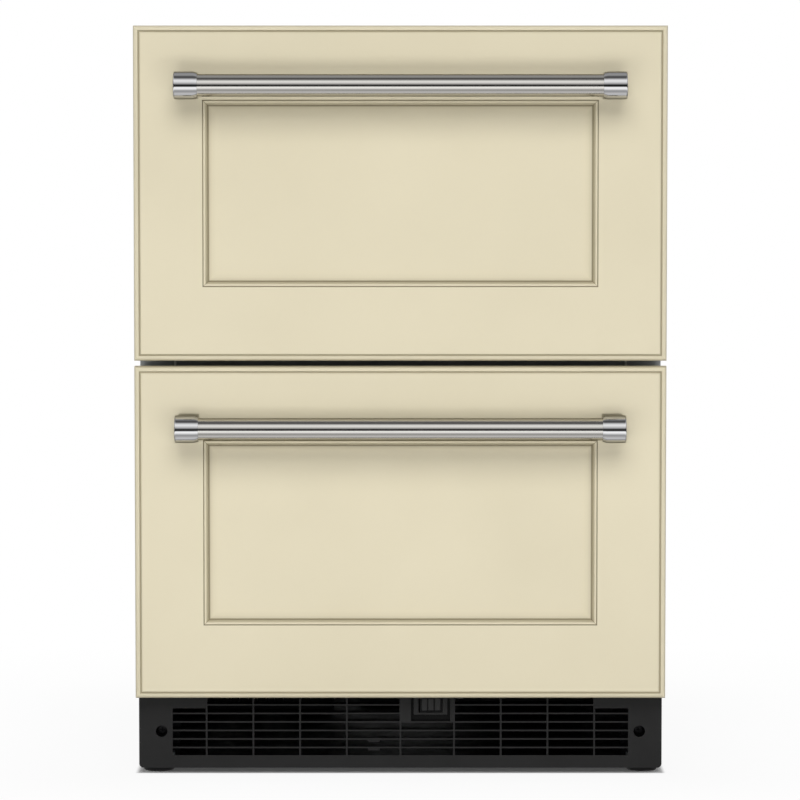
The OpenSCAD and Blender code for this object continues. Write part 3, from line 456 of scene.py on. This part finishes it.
def fromFrame(tree, place, low, high, side, end):  # how far outside a rectangle a point lies, in metres
    across = addNode(tree, "Math", {"operation": "ABSOLUTE"}, {0: place.outputs["X"]})
    fromSide = addNode(tree, "Math", {"operation": "SUBTRACT"}, {0: across.outputs[0], 1: high.x - side})
    level = addNode(tree, "Math", {"operation": "SUBTRACT"}, {0: place.outputs["Z"], 1: (low.z + high.z) / 2})
    upright = addNode(tree, "Math", {"operation": "ABSOLUTE"}, {0: level.outputs[0]})
    halfHeight = (high.z - low.z) / 2
    fromEnd = addNode(tree, "Math", {"operation": "SUBTRACT"}, {0: upright.outputs[0], 1: halfHeight - end})
    outside = addNode(tree, "Math", {"operation": "MAXIMUM"}, {0: fromSide.outputs[0], 1: fromEnd.outputs[0]})
    return fromSide.outputs[0], fromEnd.outputs[0], outside.outputs[0]


def glazeAndShadeShare(tree, distance, profile):  # how much glaze and painted shade lies at a distance, from a list in millimetres
    most = frontPaint["profile reach"]
    spread = addNode(tree, "MapRange", inputs={
        "Value": distance, "From Min": -most * mm, "From Max": most * mm})
    ramp = addNode(tree, "ValToRGB", inputs={"Fac": spread.outputs["Result"]})
    setRamp(ramp, [((far + most) / (2 * most), share) for far, share in profile])
    return ramp.outputs["Color"]


def makeFrontPaint(storey):  # sprayed satin enamel on wood: a soft even sheen, brown glaze in the grooves with painted shade round it, painted shade beside the moulding, and darker toward the rim's edge
    low, high = frontLow[storey], frontHigh[storey]
    stile, rail = frameWidths(storey)
    surface, tree, shader = newSurface(
        storey + " satin enamel on wood", frontPaint["colour"], roughness=0.42, more={"IOR": 1.47})
    colour = varyColour(tree, shader, grainNode(tree, size=160), frontPaint["shade"], frontPaint["colour"])
    place = addNode(tree, "SeparateXYZ", inputs={"Vector": addNode(tree, "TexCoord").outputs["Object"]})
    groove = frontPaint["groove"] * mm
    rimOutside = fromFrame(tree, place, low, high, groove, groove)[2]
    side, end, outside = fromFrame(tree, place, low, high, stile, rail)
    skew = addNode(tree, "Math", {"operation": "SUBTRACT"}, {0: side, 1: end})
    offMitre = addNode(tree, "Math", {"operation": "ABSOLUTE"}, {0: skew.outputs[0]})
    inMoulding = addNode(tree, "Math", {"operation": "LESS_THAN"}, {
        0: outside, 1: frontPaint["mitre reach"] * mm})
    pastField = addNode(tree, "Math", {"operation": "MINIMUM"}, {0: side, 1: end})
    outOfField = addNode(tree, "Math", {"operation": "GREATER_THAN"}, {0: pastField.outputs[0], 1: 0.0})
    band = addNode(tree, "Math", {"operation": "MULTIPLY"}, {
        0: inMoulding.outputs[0], 1: outOfField.outputs[0]})
    lineStart, lineEnd = frontPaint["mitre line"]
    near = addNode(tree, "MapRange", inputs={
        "Value": offMitre.outputs[0], "From Min": lineStart * mm, "From Max": lineEnd * mm,
        "To Min": frontPaint["mitre share"], "To Max": 0.0})
    mitre = addNode(tree, "Math", {"operation": "MULTIPLY"}, {0: near.outputs["Result"], 1: band.outputs[0]})
    # glaze with painted shade round the groove, darker toward the rim's edge, glaze lines with painted shade
    # beside them at the moulding, and a glaze line on each mitre
    shares = [glazeAndShadeShare(tree, rimOutside, frontPaint["rim glaze and painted shade"]),
              glazeAndShadeShare(tree, outside, frontPaint["field glaze and painted shade"]), mitre.outputs[0]]
    for share in shares:
        glazedAndShaded = addNode(tree, "MixRGB", inputs={
            "Fac": share, "Color1": colour, "Color2": linear(frontPaint["glaze"])})
        colour = glazedAndShaded.outputs["Color"]
    tree.links.new(colour, shader.inputs["Base Color"])
    orangePeel = grainNode(tree, size=1.2)
    addBump(tree, shader, orangePeel, depth=0.02, strength=0.35)
    varyRoughness(tree, shader, grainNode(tree, size=25), low=0.38, high=0.46)
    return surface


edgeShadeTint = linear("#6A6450")  # painted shade in the mirror: where bright metal turns away, its reflections are darkened and tinted olive, like the shaded cream panel it faces


def makeBarSteel():  # stainless tube, ground round and round: mirrors broadly, with fine rings round it
    # the edge tint paints shade into its grazing reflections
    surface, tree, shader = newSurface(
        "ground stainless steel", "#C0BEBA", roughness=0.13, metallic=1.0, more={"Specular Tint": edgeShadeTint})
    rings = grainNode(tree, size=0.6, stretch=(1, 0.02, 0.02))  # coarser than real grinding lines, to show
    addBump(tree, shader, rings, depth=0.01, strength=0.25)
    varyRoughness(tree, shader, grainNode(tree, size=14), low=0.11, high=0.15)
    return surface


def makeChrome():  # polished chrome plate on die-cast zinc: a clean mirror with faint wipe marks
    # the edge tint paints shade into its grazing reflections
    surface, tree, shader = newSurface(
        "polished chrome", "#C2C2C3", roughness=0.03, metallic=1.0, more={"Specular Tint": edgeShadeTint})
    varyRoughness(tree, shader, grainNode(tree, size=6, stretch=(1, 3, 3)), low=0.02, high=0.06)
    return surface


def makeSheetPaint():  # powder coat on steel sheet: a fine pebbled skin that blurs what it mirrors
    surface, tree, shader = newSurface("grey powder coat", "#A6A8A9", roughness=0.45, more={"IOR": 1.5})
    varyColour(tree, shader, grainNode(tree, size=90), "#A5A7A8", "#A7A9AA")
    addBump(tree, shader, grainNode(tree, size=1.5), depth=0.05, strength=0.5)
    varyRoughness(tree, shader, grainNode(tree, size=30), low=0.44, high=0.47)
    return surface


crystalWidth = 9  # millimetres


def makeGalvanised():  # hot-dip galvanised sheet: crystals of zinc, each with its own grey
    surface, tree, shader = newSurface("galvanised steel", "#B9BCBE", roughness=0.38, metallic=0.85)
    place = addNode(tree, "TexCoord").outputs["Object"]
    crystals = addNode(tree, "TexVoronoi", inputs={"Vector": place, "Scale": 1 / (crystalWidth * mm)})
    ownGrey = addNode(tree, "SeparateColor", inputs={"Color": crystals.outputs["Color"]}).outputs["Red"]
    varyColour(tree, shader, ownGrey, "#AEB2B4", "#BDC0C2", reach=(0, 1))
    varyRoughness(tree, shader, ownGrey, low=0.36, high=0.44)
    return surface


def makeZinc():  # rolled and zinc-plated steel: a slightly blue shine with rolling lines along the slide
    surface, tree, shader = newSurface("zinc plated steel", "#C4C8CB", roughness=0.28, metallic=1.0)
    lines = grainNode(tree, size=1.2, stretch=(1, 0.02, 1))
    addBump(tree, shader, lines, depth=0.01, strength=0.3)
    varyRoughness(tree, shader, lines, low=0.22, high=0.34)
    return surface


def makeLiner():  # vacuum-formed high-impact polystyrene: clean white with a faint pebble
    surface, tree, shader = newSurface("white polystyrene", "#EFF0EC", roughness=0.32, more={"IOR": 1.55})
    varyColour(tree, shader, grainNode(tree, size=120), "#ECEDE9", "#F1F2EE")
    addBump(tree, shader, grainNode(tree, size=1.8), depth=0.04, strength=0.4)
    return surface


def makeVinyl():  # soft extruded vinyl: matt, with faint lines along the extrusion
    surface, tree, shader = newSurface("gasket vinyl", "#8F908E", roughness=0.55)
    varyColour(tree, shader, grainNode(tree, size=20), "#8A8B89", "#949593")
    addBump(tree, shader, grainNode(tree, size=0.8), depth=0.03, strength=0.4)
    return surface


blackPlastic = {"IOR": 1.53, "shine": 0.12, "painted shade colour": "#060606", "wear": 0.05}


def makeBlackPlastic(name, dark, light, roughness, grain, shadeDepths=None):  # moulded, with a spark-eroded texture; where asked, painted shade darkens it behind the grille's face
    shine = {"IOR": blackPlastic["IOR"], "Specular IOR Level": blackPlastic["shine"]}
    surface, tree, shader = newSurface(name, light, roughness, more=shine)
    colour = varyColour(tree, shader, grainNode(tree, size=40), dark, light)
    if shadeDepths:  # painted shade: from so many millimetres behind the grille's face the colour fades to near black, standing for the shade in its recesses
        place = addNode(tree, "SeparateXYZ", inputs={"Vector": addNode(tree, "TexCoord").outputs["Object"]})
        share = addNode(tree, "MapRange", inputs={
            "Value": place.outputs["Y"], "From Min": grilleLow.y + shadeDepths[0] * mm,
            "From Max": grilleLow.y + shadeDepths[1] * mm})
        withPaintedShade = addNode(tree, "MixRGB", inputs={
            "Fac": share.outputs["Result"], "Color1": colour, "Color2": linear(blackPlastic["painted shade colour"])})
        tree.links.new(withPaintedShade.outputs["Color"], shader.inputs["Base Color"])
    addBump(tree, shader, grainNode(tree, grain), depth=0.03, strength=0.5)
    varyRoughness(tree, shader, grainNode(tree, size=18),
                  low=roughness - blackPlastic["wear"], high=roughness + blackPlastic["wear"])
    return surface


def makeFoam():  # blown polyurethane: a matt yellow skin with small pits
    surface, tree, shader = newSurface("polyurethane foam", "#DCCB95", roughness=0.85)
    varyColour(tree, shader, grainNode(tree, size=12), "#D3C089", "#E2D29F")
    addBump(tree, shader, grainNode(tree, size=2.5), depth=0.3, strength=0.7)
    return surface


def makeMetal(name, dark, light, roughness, metallic, grain, wear=0.06):
    surface, tree, shader = newSurface(name, light, roughness, metallic)
    pattern = grainNode(tree, grain)
    varyColour(tree, shader, pattern, dark, light)
    varyRoughness(tree, shader, pattern, low=roughness - wear, high=roughness + wear)
    return surface


def makeDiffuser():  # opal acrylic over a strip of lamps: milky, and a little lit inside
    milk = {"Subsurface Weight": 0.2, "Subsurface Scale": 3 * mm}
    surface, tree, shader = newSurface("opal acrylic", "#F6F6F2", roughness=0.35, more=milk)
    varyColour(tree, shader, grainNode(tree, size=30), "#F3F3EE", "#F8F8F5")
    return surface


frontPaints = {storey: makeFrontPaint(storey) for storey in frontLow}
barSteel, chrome, sheetPaint, galvanised, zinc = (
    makeBarSteel(), makeChrome(), makeSheetPaint(), makeGalvanised(), makeZinc())
linerWhite, vinyl, foam, diffuser = makeLiner(), makeVinyl(), makeFoam(), makeDiffuser()
# the grille and the switch frame get painted shade behind their faces
grilleBlack = makeBlackPlastic(
    "moulded ABS of the grille", "#222222", "#252525", roughness=0.48, grain=0.9, shadeDepths=(0.8, 3.0))
switchBlack = makeBlackPlastic(
    "moulded nylon of the switch", "#262626", "#292929", roughness=0.4, grain=0.7, shadeDepths=(2.0, 3.5))
# the rocker and its ribs are one nylon in two shades: the ribs are painted lighter, as lit, and the body
# darker, as in shade
rockerBlack = makeBlackPlastic("moulded nylon of the rocker", "#0C0C0C", "#0F0F0F", roughness=0.36, grain=0.7)
ribLitGrey = makeBlackPlastic("nylon of the rocker's ribs, lighter as painted light", "#303030", "#333333", roughness=0.4, grain=0.7)
innerBlack = makeBlackPlastic("moulded polypropylene", "#121213", "#18191A", roughness=0.5, grain=1.4)
footBlack = makeBlackPlastic(
    "glass-filled nylon of the feet", "#161616", "#1D1D1D", roughness=0.55, grain=1.1)
rubber = makeBlackPlastic("moulded rubber", "#121212", "#1A1A1A", roughness=0.7, grain=1.2)
enamel = makeMetal(  # a wet-looking even black
    "black stoving enamel", "#0E0F10", "#141517", roughness=0.25, metallic=0.0, grain=40)
motorPaint = makeMetal(  # dull grey with a faint gleam
    "painted motor steel", "#434547", "#505254", roughness=0.42, metallic=0.4, grain=20)
finStock = makeMetal(  # bright rolled aluminium foil
    "aluminium fin stock", "#BCC1C4", "#D2D6D8", roughness=0.34, metallic=1.0, grain=8)
copper = makeMetal(  # pinkish metal, browned in patches
    "drawn copper", "#A8632F", "#C17A45", roughness=0.28, metallic=1.0, grain=25)
# painted shade: the galvanised base pan behind the grille is made near black, standing for the shade there
basePanShade = makeBlackPlastic("galvanised steel darkened as painted shade", "#0A0A0B", "#0F0F10", roughness=0.5, grain=1.5)
screwZinc = makeMetal(  # soft grey with a bright side
    "zinc plated screw", "#9FA2A5", "#BCBFC2", roughness=0.3, metallic=1.0, grain=3)
screwBlack = makeMetal(  # dark with a thin gleam on its edges
    "black oxide screw", "#1E1E1F", "#323233", roughness=0.4, metallic=0.9, grain=3)
print("materials made")


# cabinet-made fronts: a frame with a rounded rim, a scratch bead and a sloping moulding round a flat field

def makeFrontFrame(storey):
    low, high = frontLow[storey], frontHigh[storey]
    radius = front["rim radius"]
    angles = [math.radians(90 * i / front["rim steps"]) for i in range(front["rim steps"] + 1)]
    rim = [(radius * (math.cos(a) - math.cos(b)), radius * (math.sin(b) - math.sin(a)))
           for a, b in zip(angles, angles[1:])]
    opening, railOpening = [width / mm for width in frameWidths(storey)]
    mouldingWidth = sum(inward for inward, raised in front["moulding"])
    flat = opening - mouldingWidth - sum(inward for inward, raised in rim + front["bead"])
    middle, halfHeight = (low.z + high.z) / 2, (high.z - low.z) / 2 / mm

    def widenRails(inset):  # the rails are wider than the stiles
        share = (halfHeight - inset - railOpening + opening) / (halfHeight - inset)
        bpy.ops.transform.resize(value=(1, 1, share), center_override=(0, 0, middle))

    piece = addBlock(storey + "_front_frame", (low.x, panelFront + radius * mm, low.z),
                     (high.x, panelBack, high.z))
    pickFaces(piece, lambda centre, normal: normal.y < -facing)
    insetSteps(rim + front["bead"] + [(flat, 0)])
    widenRails(opening - mouldingWidth)
    insetSteps(front["moulding"])
    pickFaces(piece, lambda centre, normal: normal.y > facing)
    insetSteps([(opening, 0)])
    widenRails(opening)
    pickFaces(piece, lambda centre, normal: abs(normal.y) > facing and abs(centre.x) < close
              and abs(centre.z - middle) < close)
    bpy.ops.mesh.bridge_edge_loops()
    bpy.ops.object.mode_set(mode="OBJECT")
    fieldLow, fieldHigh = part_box(storey + "_panel_field")
    play = Vector((front["play"], 0, front["play"])) * mm
    cutWith(piece, addBlock("dado", fieldLow - play, fieldHigh + play))
    shade(piece, angle=28)
    return piece


def makeFrontField(storey):  # a flat board let into the frame's groove
    piece = addBlock(storey + "_front_field", *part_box(storey + "_panel_field"))
    soften(piece, front["field edge"] * mm)
    return piece


# bar handles: a ground tube held in two polished ends, each on a square post

handle = {
    "bar radius": 12.5, "bar wall": 1.5, "bar edge": 0.3, "bar opening": 12,
    "end radius": 15.5, "end edge": 1.6, "chamfer": 4.4, "chamfer rise": 1.4, "seat": 15.0, "seat play": 0.05,
    "post from": 1.5, "post to": 24, "post half height": 15, "post behind axis": 2, "post edge": 0.8,
    "bore over": 1, "hair": 0.01,  # a hair's step lets a hole's wall stand square on its floor
}


def makeHandleBar(storey):
    low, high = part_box(storey + "_handle_bar")
    centre = (low + high) / 2
    piece = addDrum(storey + "_bar", centre, handle["bar radius"] * mm, high.x - low.x, "X", sides=128)
    pickFaces(piece, lambda middle, normal: abs(normal.x) > facing)
    insetSteps([(handle["bar wall"], 0), (handle["hair"], -handle["bar opening"])])
    bpy.ops.object.mode_set(mode="OBJECT")
    soften(piece, handle["bar edge"] * mm, segments=1, angle=60)
    return piece


def makeHandleEnd(storey):  # the right-hand end; the left one is its mirror image
    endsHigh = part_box(storey + "_handle_ends")[1]
    barLow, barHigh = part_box(storey + "_handle_bar")
    axis = (barLow + barHigh) / 2
    outer, inner = endsHigh.x, barHigh.x - handle["seat"] * mm
    radius = handle["end radius"] * mm
    body = addDrum("end", ((outer + inner) / 2, axis.y, axis.z), radius, outer - inner, "X", sides=128)
    pickFaces(body, lambda middle, normal: normal.x < -facing)
    bpy.ops.transform.translate(value=(handle["chamfer"] * mm, 0, 0))
    insetSteps([(handle["chamfer rise"], handle["chamfer"])])
    seatWall = handle["end radius"] - handle["chamfer rise"] - handle["bar radius"] - handle["seat play"]
    insetSteps([(seatWall, 0), (handle["hair"], -handle["seat"])])
    pickEdges(body, lambda a, b: min(a.x, b.x) > outer - close)
    bpy.ops.mesh.bevel(offset=handle["end edge"] * mm, segments=4, affect="EDGES")
    bpy.ops.object.mode_set(mode="OBJECT")
    postHalf = handle["post half height"] * mm
    post = addBlock("post", (inner + handle["post from"] * mm, axis.y + handle["post behind axis"] * mm,
                             axis.z - postHalf),
                    (inner + handle["post to"] * mm, panelFront, axis.z + postHalf))
    pickEdges(post, lambda a, b: abs(a.x - b.x) < exact and abs(a.z - b.z) < exact)
    bpy.ops.mesh.bevel(offset=handle["post edge"] * mm, segments=3, affect="EDGES")
    bpy.ops.object.mode_set(mode="OBJECT")
    boreMiddle, boreDepth = (handle["seat"] - handle["bore over"]) / 2, handle["seat"] + handle["bore over"]
    bore = addDrum("bore", (inner + boreMiddle * mm, axis.y, axis.z),
                   (handle["bar radius"] + handle["seat play"]) * mm, boreDepth * mm, "X", sides=128)
    cutWith(post, bore)
    cutWith(body, post, "UNION")
    shade(body, angle=30)
    return body


for storey in ("upper", "lower"):
    drawer = storey + "_drawer"
    paint = frontPaints[storey]
    finishPiece(makeFrontFrame(storey), drawer, paint, [storey + "_panel_frame"])
    finishPiece(makeFrontField(storey), drawer, paint, [storey + "_panel_field"])
    finishPiece(makeHandleBar(storey), drawer, barSteel, [storey + "_handle_bar"])
    rightEnd = makeHandleEnd(storey)
    leftEnd = mirrorPiece(rightEnd, "left end")
    bothEnds = joinPieces(storey + "_polished_ends", [rightEnd, leftEnd])
    shade(bothEnds, angle=30)
    finishPiece(bothEnds, drawer, chrome, [storey + "_handle_ends"])
    dressNode(storey + "_handle_screws", screwZinc)
print("fronts and handles made")


# toe grille: a moulded front with louvres, its screws, and the rocker switch in its pocket

grille = {"edge": 0.5}
grillePiece = copyNode("front_grille", "toe_grille")
soften(grillePiece, grille["edge"] * mm)
finishPiece(grillePiece, "cabinet", grilleBlack, ["front_grille"])

grilleScrew = {"head radius": 5.0, "head depth": 3, "rings": [(1.2, 0), (0.4, 0)], "head edge": 0.7,
               "slot": (0.55, 2.6), "slot from": -1.0, "slot to": 1.6, "shank radius": 2.5, "shank from": 2}


def makeGrilleScrew(x):  # a round head with a cross slot, deep in its well
    low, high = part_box("grille_screws")
    place = Vector((x, low.y, (low.z + high.z) / 2))
    radius, depth = grilleScrew["head radius"] * mm, grilleScrew["head depth"] * mm
    head = addDrum("head", place + Vector((0, depth / 2, 0)), radius, depth, "Y", sides=40)
    pickFaces(head, lambda middle, normal: normal.y < -facing)
    insetSteps(grilleScrew["rings"])
    bpy.ops.object.mode_set(mode="OBJECT")
    soften(head, grilleScrew["head edge"] * mm, segments=3, angle=60)
    narrow, long = grilleScrew["slot"]
    for wide, tall in ((narrow, long), (long, narrow)):
        slot = addBlock("slot", place + Vector((-wide, grilleScrew["slot from"], -tall)) * mm,
                        place + Vector((wide, grilleScrew["slot to"], tall)) * mm)
        cutWith(head, slot)
    start = low.y + grilleScrew["shank from"] * mm
    shank = addDrum("shank", (x, (start + high.y) / 2, place.z), grilleScrew["shank radius"] * mm,
                    high.y - start, "Y", sides=24)
    return [head, shank]


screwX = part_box("grille_screws")[1].x - grilleScrew["head radius"] * mm
grilleScrews = joinPieces("grille_screw_pair", makeGrilleScrew(screwX) + makeGrilleScrew(-screwX))
shade(grilleScrews)
finishPiece(grilleScrews, "cabinet", screwBlack, ["grille_screws"])

bezel = {"edge": 0.5}
bezelPiece = copyNode("switch_bezel", "switch_frame")
soften(bezelPiece, bezel["edge"] * mm)
finishPiece(bezelPiece, "cabinet", switchBlack, ["switch_bezel"])

rocker = {
    "tilt": 6.0, "edge": 0.35, "half width": 13, "lip": 1.4,
    "face": 5.0, "dip": 1.6,  # how far the face stands before the pivot at its sides, and dips at its middle
    "rib width": 6.2, "rib gap": 1.4, "rib rise": 1.1, "rib root": 1.5, "rib edge": 0.4,
    "rib foot": 2.2, "rib head": 1.6,  # the room below and above the ribs
}


def makeRocker():  # its face dips in the middle and carries three upright ribs
    low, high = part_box("switch_rocker")
    pivot = [joint for joint in frame["joints"] if joint["name"] == "switch_rock"][0]["pos_m"]
    body = copyNode("switch_rocker", "rocker")
    soften(body, rocker["edge"] * mm)
    body.data.materials.clear()
    body.data.materials.append(rockerBlack)
    ribs = []
    pitch, half = rocker["rib width"] + rocker["rib gap"], rocker["rib width"] / 2 * mm
    foot = low.z - pivot[2] + (rocker["lip"] + rocker["rib foot"]) * mm
    head = high.z - pivot[2] - rocker["rib head"] * mm
    for column in (-1, 0, 1):
        x = column * pitch * mm
        face = -rocker["face"] * mm + (rocker["dip"] * mm) * (1 - abs(column) * pitch / rocker["half width"])
        rib = addBlock("rib", (x - half, face - rocker["rib rise"] * mm, foot),
                       (x + half, face + rocker["rib root"] * mm, head))
        soften(rib, rocker["rib edge"] * mm)
        rib.data.materials.append(ribLitGrey)
        ribs.append(rib)
    allRibs = joinPieces("ribs", ribs)
    tilt = Matrix.Rotation(math.radians(rocker["tilt"]), 4, "Z")
    allRibs.data.transform(Matrix.Translation(Vector(pivot)) @ tilt)
    return joinPieces("power_rocker", [body, allRibs])


rockerPiece = makeRocker()
shade(rockerPiece)
finishPiece(rockerPiece, "power_switch", [rockerBlack, ribLitGrey], ["switch_rocker"])
print("toe grille made")


# cabinet: folded sheet with eased edges

shortestEased = 10 * mm  # shorter edges belong to small holes, and stay sharp

for node, name, edge, slotName, surface in (
        ("cabinet_wrapper", "outer_cabinet", 0.45, "grey_steel", sheetPaint),
        ("center_mullion", "middle_rail", 1.0, "grey_steel", sheetPaint),
        # the base pan is near black as painted shade
        ("base_pan", "folded_base_pan", 0.5, "galvanised_steel", basePanShade),
        ("mounting_brackets", "worktop_brackets", 0.5, "galvanised_steel", galvanised)):
    sheet = copyNode(node, name)
    softenLong(sheet, edge * mm, shortestEased)
    finishPiece(sheet, "cabinet", surface, [node])

back = {"rib count": 4, "rib half width": 26, "rib rise": 0.8, "margin": 42,
        "rib slope": [(2.0, 0), (2.0, 0.7), (2.5, 0.3)]}  # steps inward, and their shares of the rise


def makeBackPanel():  # a flat sheet with pressed upright ribs
    low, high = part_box("cabinet_back")
    piece = addBlock("pressed_back_panel", low, (high.x, high.y - back["rib rise"] * mm, high.z))
    pitch = (high.x - low.x) / back["rib count"]
    for index in range(back["rib count"]):
        middle = low.x + (index + 0.5) * pitch
        for side in (-1, 1):
            splitFaces(piece, (middle + side * back["rib half width"] * mm, 0, 0), (1, 0, 0))
    for z in (low.z + back["margin"] * mm, high.z - back["margin"] * mm):
        splitFaces(piece, (0, 0, z), (0, 0, 1))

    def onRib(middle, normal):
        fromRib = abs((middle.x - low.x) / pitch % 1 - 0.5) * pitch
        return normal.y > facing and fromRib < close and abs(middle.z - (low.z + high.z) / 2) < close

    pickFaces(piece, onRib)
    insetSteps([(inward, back["rib rise"] * share) for inward, share in back["rib slope"]])
    bpy.ops.object.mode_set(mode="OBJECT")
    shade(piece, angle=60)
    return piece


hexScrew = {"flange radius": 4.2, "flange depth": 0.8, "head radius": 3.2, "head depth": 2.6,
            "head middle": 2.0, "dish": [(0.9, 0), (0.5, -0.8)], "edge": 0.25}


def makeHexScrew(name, place):  # a hex head with a washer flange, for sheet metal
    place, depth = Vector(place), hexScrew["flange depth"] * mm
    washer = addDrum(name, place + Vector((0, depth / 2, 0)), hexScrew["flange radius"] * mm,
                     depth, "Y", sides=32)
    head = addDrum("hex", place + Vector((0, hexScrew["head middle"] * mm, 0)),
                   hexScrew["head radius"] * mm, hexScrew["head depth"] * mm, "Y", sides=6)
    pickFaces(head, lambda middle, normal: normal.y > facing)
    insetSteps(hexScrew["dish"])
    bpy.ops.object.mode_set(mode="OBJECT")
    soften(head, hexScrew["edge"] * mm)
    return joinPieces(name, [washer, head])


finishPiece(makeBackPanel(), "cabinet", galvanised, ["cabinet_back"])

rearCover = {"edge": 0.4, "screws in a row": 5,
             "screw from side": 18, "screw from end": 12, "screw sunk": 3.4}
coverLow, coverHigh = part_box("rear_machine_cover")
coverPiece = copyNode("rear_machine_cover", "slotted_rear_cover")
soften(coverPiece, rearCover["edge"] * mm, segments=1)
finishPiece(coverPiece, "cabinet", galvanised, ["rear_machine_cover"])
fromSide, fromEnd = rearCover["screw from side"] * mm, rearCover["screw from end"] * mm
firstScrew = makeHexScrew("first", (coverLow.x + fromSide, coverHigh.y - rearCover["screw sunk"] * mm,
                                    coverHigh.z - fromEnd))
screws = [firstScrew]
screwPitch = (coverHigh.x - coverLow.x - 2 * fromSide) / (rearCover["screws in a row"] - 1)
for index in range(1, rearCover["screws in a row"]):
    screws.append(copyPiece(firstScrew, "screw", (index * screwPitch, 0, 0)))
screws += [copyPiece(screw, "screw", (0, 0, coverLow.z - coverHigh.z + 2 * fromEnd)) for screw in screws]
backScrews = joinPieces("rear_cover_screws", screws)
finishPiece(backScrews, "cabinet", screwZinc)
print("cabinet made")


# drawers behind the fronts: foamed doors, gaskets with a bellows, and formed bins

formedBin = {"wall": 3.0, "corner": 14.0, "floor corner": 8.0, "shelf": 274.5, "step": 69.15}


def makeBin(storey):  # an open box, and the lower one steps up over the machine compartment
    low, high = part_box(storey + "_drawer_bin")
    floorZ = formedBin["shelf"] * mm if storey == "lower" else low.z
    stepY = formedBin["step"] * mm
    piece = addBlock(storey + "_bin", (low.x, low.y, floorZ), high)
    if storey == "lower":
        splitFaces(piece, (0, stepY, 0), (0, 1, 0))
        pickFaces(piece, lambda middle, normal: normal.z < -facing and middle.y < stepY)
        bpy.ops.mesh.extrude_region_move(TRANSFORM_OT_translate={"value": (0, 0, low.z - floorZ)})
        bpy.ops.mesh.select_all(action="SELECT")
        bpy.ops.mesh.dissolve_limited(angle_limit=math.radians(1))
    pickEdges(piece, lambda a, b: abs(a.z - b.z) > close and abs(a.y - stepY) > close)
    bpy.ops.mesh.bevel(offset=formedBin["corner"] * mm, segments=8, affect="EDGES")
    pickFaces(piece, lambda middle, normal: normal.z > facing)
    bpy.ops.mesh.delete(type="FACE")
    pickEdges(piece, lambda a, b: max(a.z, b.z) < high.z - close
              or abs(a.y - stepY) + abs(b.y - stepY) < close)
    bpy.ops.mesh.bevel(offset=formedBin["floor corner"] * mm, segments=5, affect="EDGES")
    bpy.ops.object.mode_set(mode="OBJECT")
    applyModifier(piece, "SOLIDIFY", thickness=formedBin["wall"] * mm, offset=-1, use_even_offset=True)
    shade(piece, angle=40)
    return piece


seal = {"width": 14, "foot": 1.6, "steps": [
    (0.6, 0.6), (0.9, 1.0), (0.7, 1.0), (-0.7, 1.0), (-0.7, 1.0), (0.4, 0.9), (0.9, 0.9), (0.8, 0.5)]}


def makeGasket(storey):  # a ring whose section bulges like a bellows
    low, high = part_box(storey + "_door_gasket")
    piece = addBlock(storey + "_seal", low, (high.x, low.y + seal["foot"] * mm, high.z))
    pickFaces(piece, lambda middle, normal: abs(normal.y) > facing)
    insetSteps([(seal["width"], 0)])
    bpy.ops.mesh.bridge_edge_loops()
    pickFaces(piece, lambda middle, normal: normal.y > facing)
    for inward, raised in seal["steps"]:
        if inward > 0:
            insetSteps([(inward, raised)])
        else:
            bpy.ops.mesh.extrude_region_shrink_fatten(TRANSFORM_OT_shrink_fatten={"value": raised * mm})
    bpy.ops.object.mode_set(mode="OBJECT")
    shade(piece, angle=50)
    return piece


for storey in ("upper", "lower"):
    drawer = storey + "_drawer"
    finishPiece(makeBin(storey), drawer, linerWhite, [storey + "_drawer_bin"])
    finishPiece(makeGasket(storey), drawer, vinyl, [storey + "_door_gasket"])
    for node, name, edge, slotName, surface in (
            ("_door_shell", "_door_casing", 0.9, "grey_steel", sheetPaint),
            ("_door_liner", "_door_inner", 0.9, "white_liner", linerWhite)):
        sheet = copyNode(storey + node, storey + name)
        soften(sheet, edge * mm, segments=3)
        finishPiece(sheet, drawer, surface, [storey + node])
    dressNode(storey + "_door_foam", foam)
    for member in ("drawer", "middle", "cabinet"):
        dressNode(storey + "_slide_" + member + "_members", zinc)
print("drawers made")


# what is inside or shows little keeps its CAD shape

for surface, nodes in (
        (sheetPaint, ["cabinet_floor"]), (foam, ["foam_insulation"]),
        (linerWhite, ["cabinet_liner", "evaporator_cover", "evaporator_fan"]),
        (galvanised, ["leg_nut_plates"]), (finStock, ["evaporator"]),
        (innerBlack, ["power_inlet", "start_relay_box", "condenser_shroud", "condenser_fan", "drain_pan",
                      "control_module"]),
        (motorPaint, ["evaporator_fan_motor", "condenser_fan_motor"]),
        (enamel, ["compressor", "condenser_coil"]), (rubber, ["compressor_grommets"]),
        (copper, ["refrigerant_lines"]), (diffuser, ["light_bar"]),
        (footBlack, ["leg_front_left", "leg_front_right", "leg_rear_left", "leg_rear_right"])):
    for node in nodes:
        dressNode(node, surface)
print("inner pieces dressed")
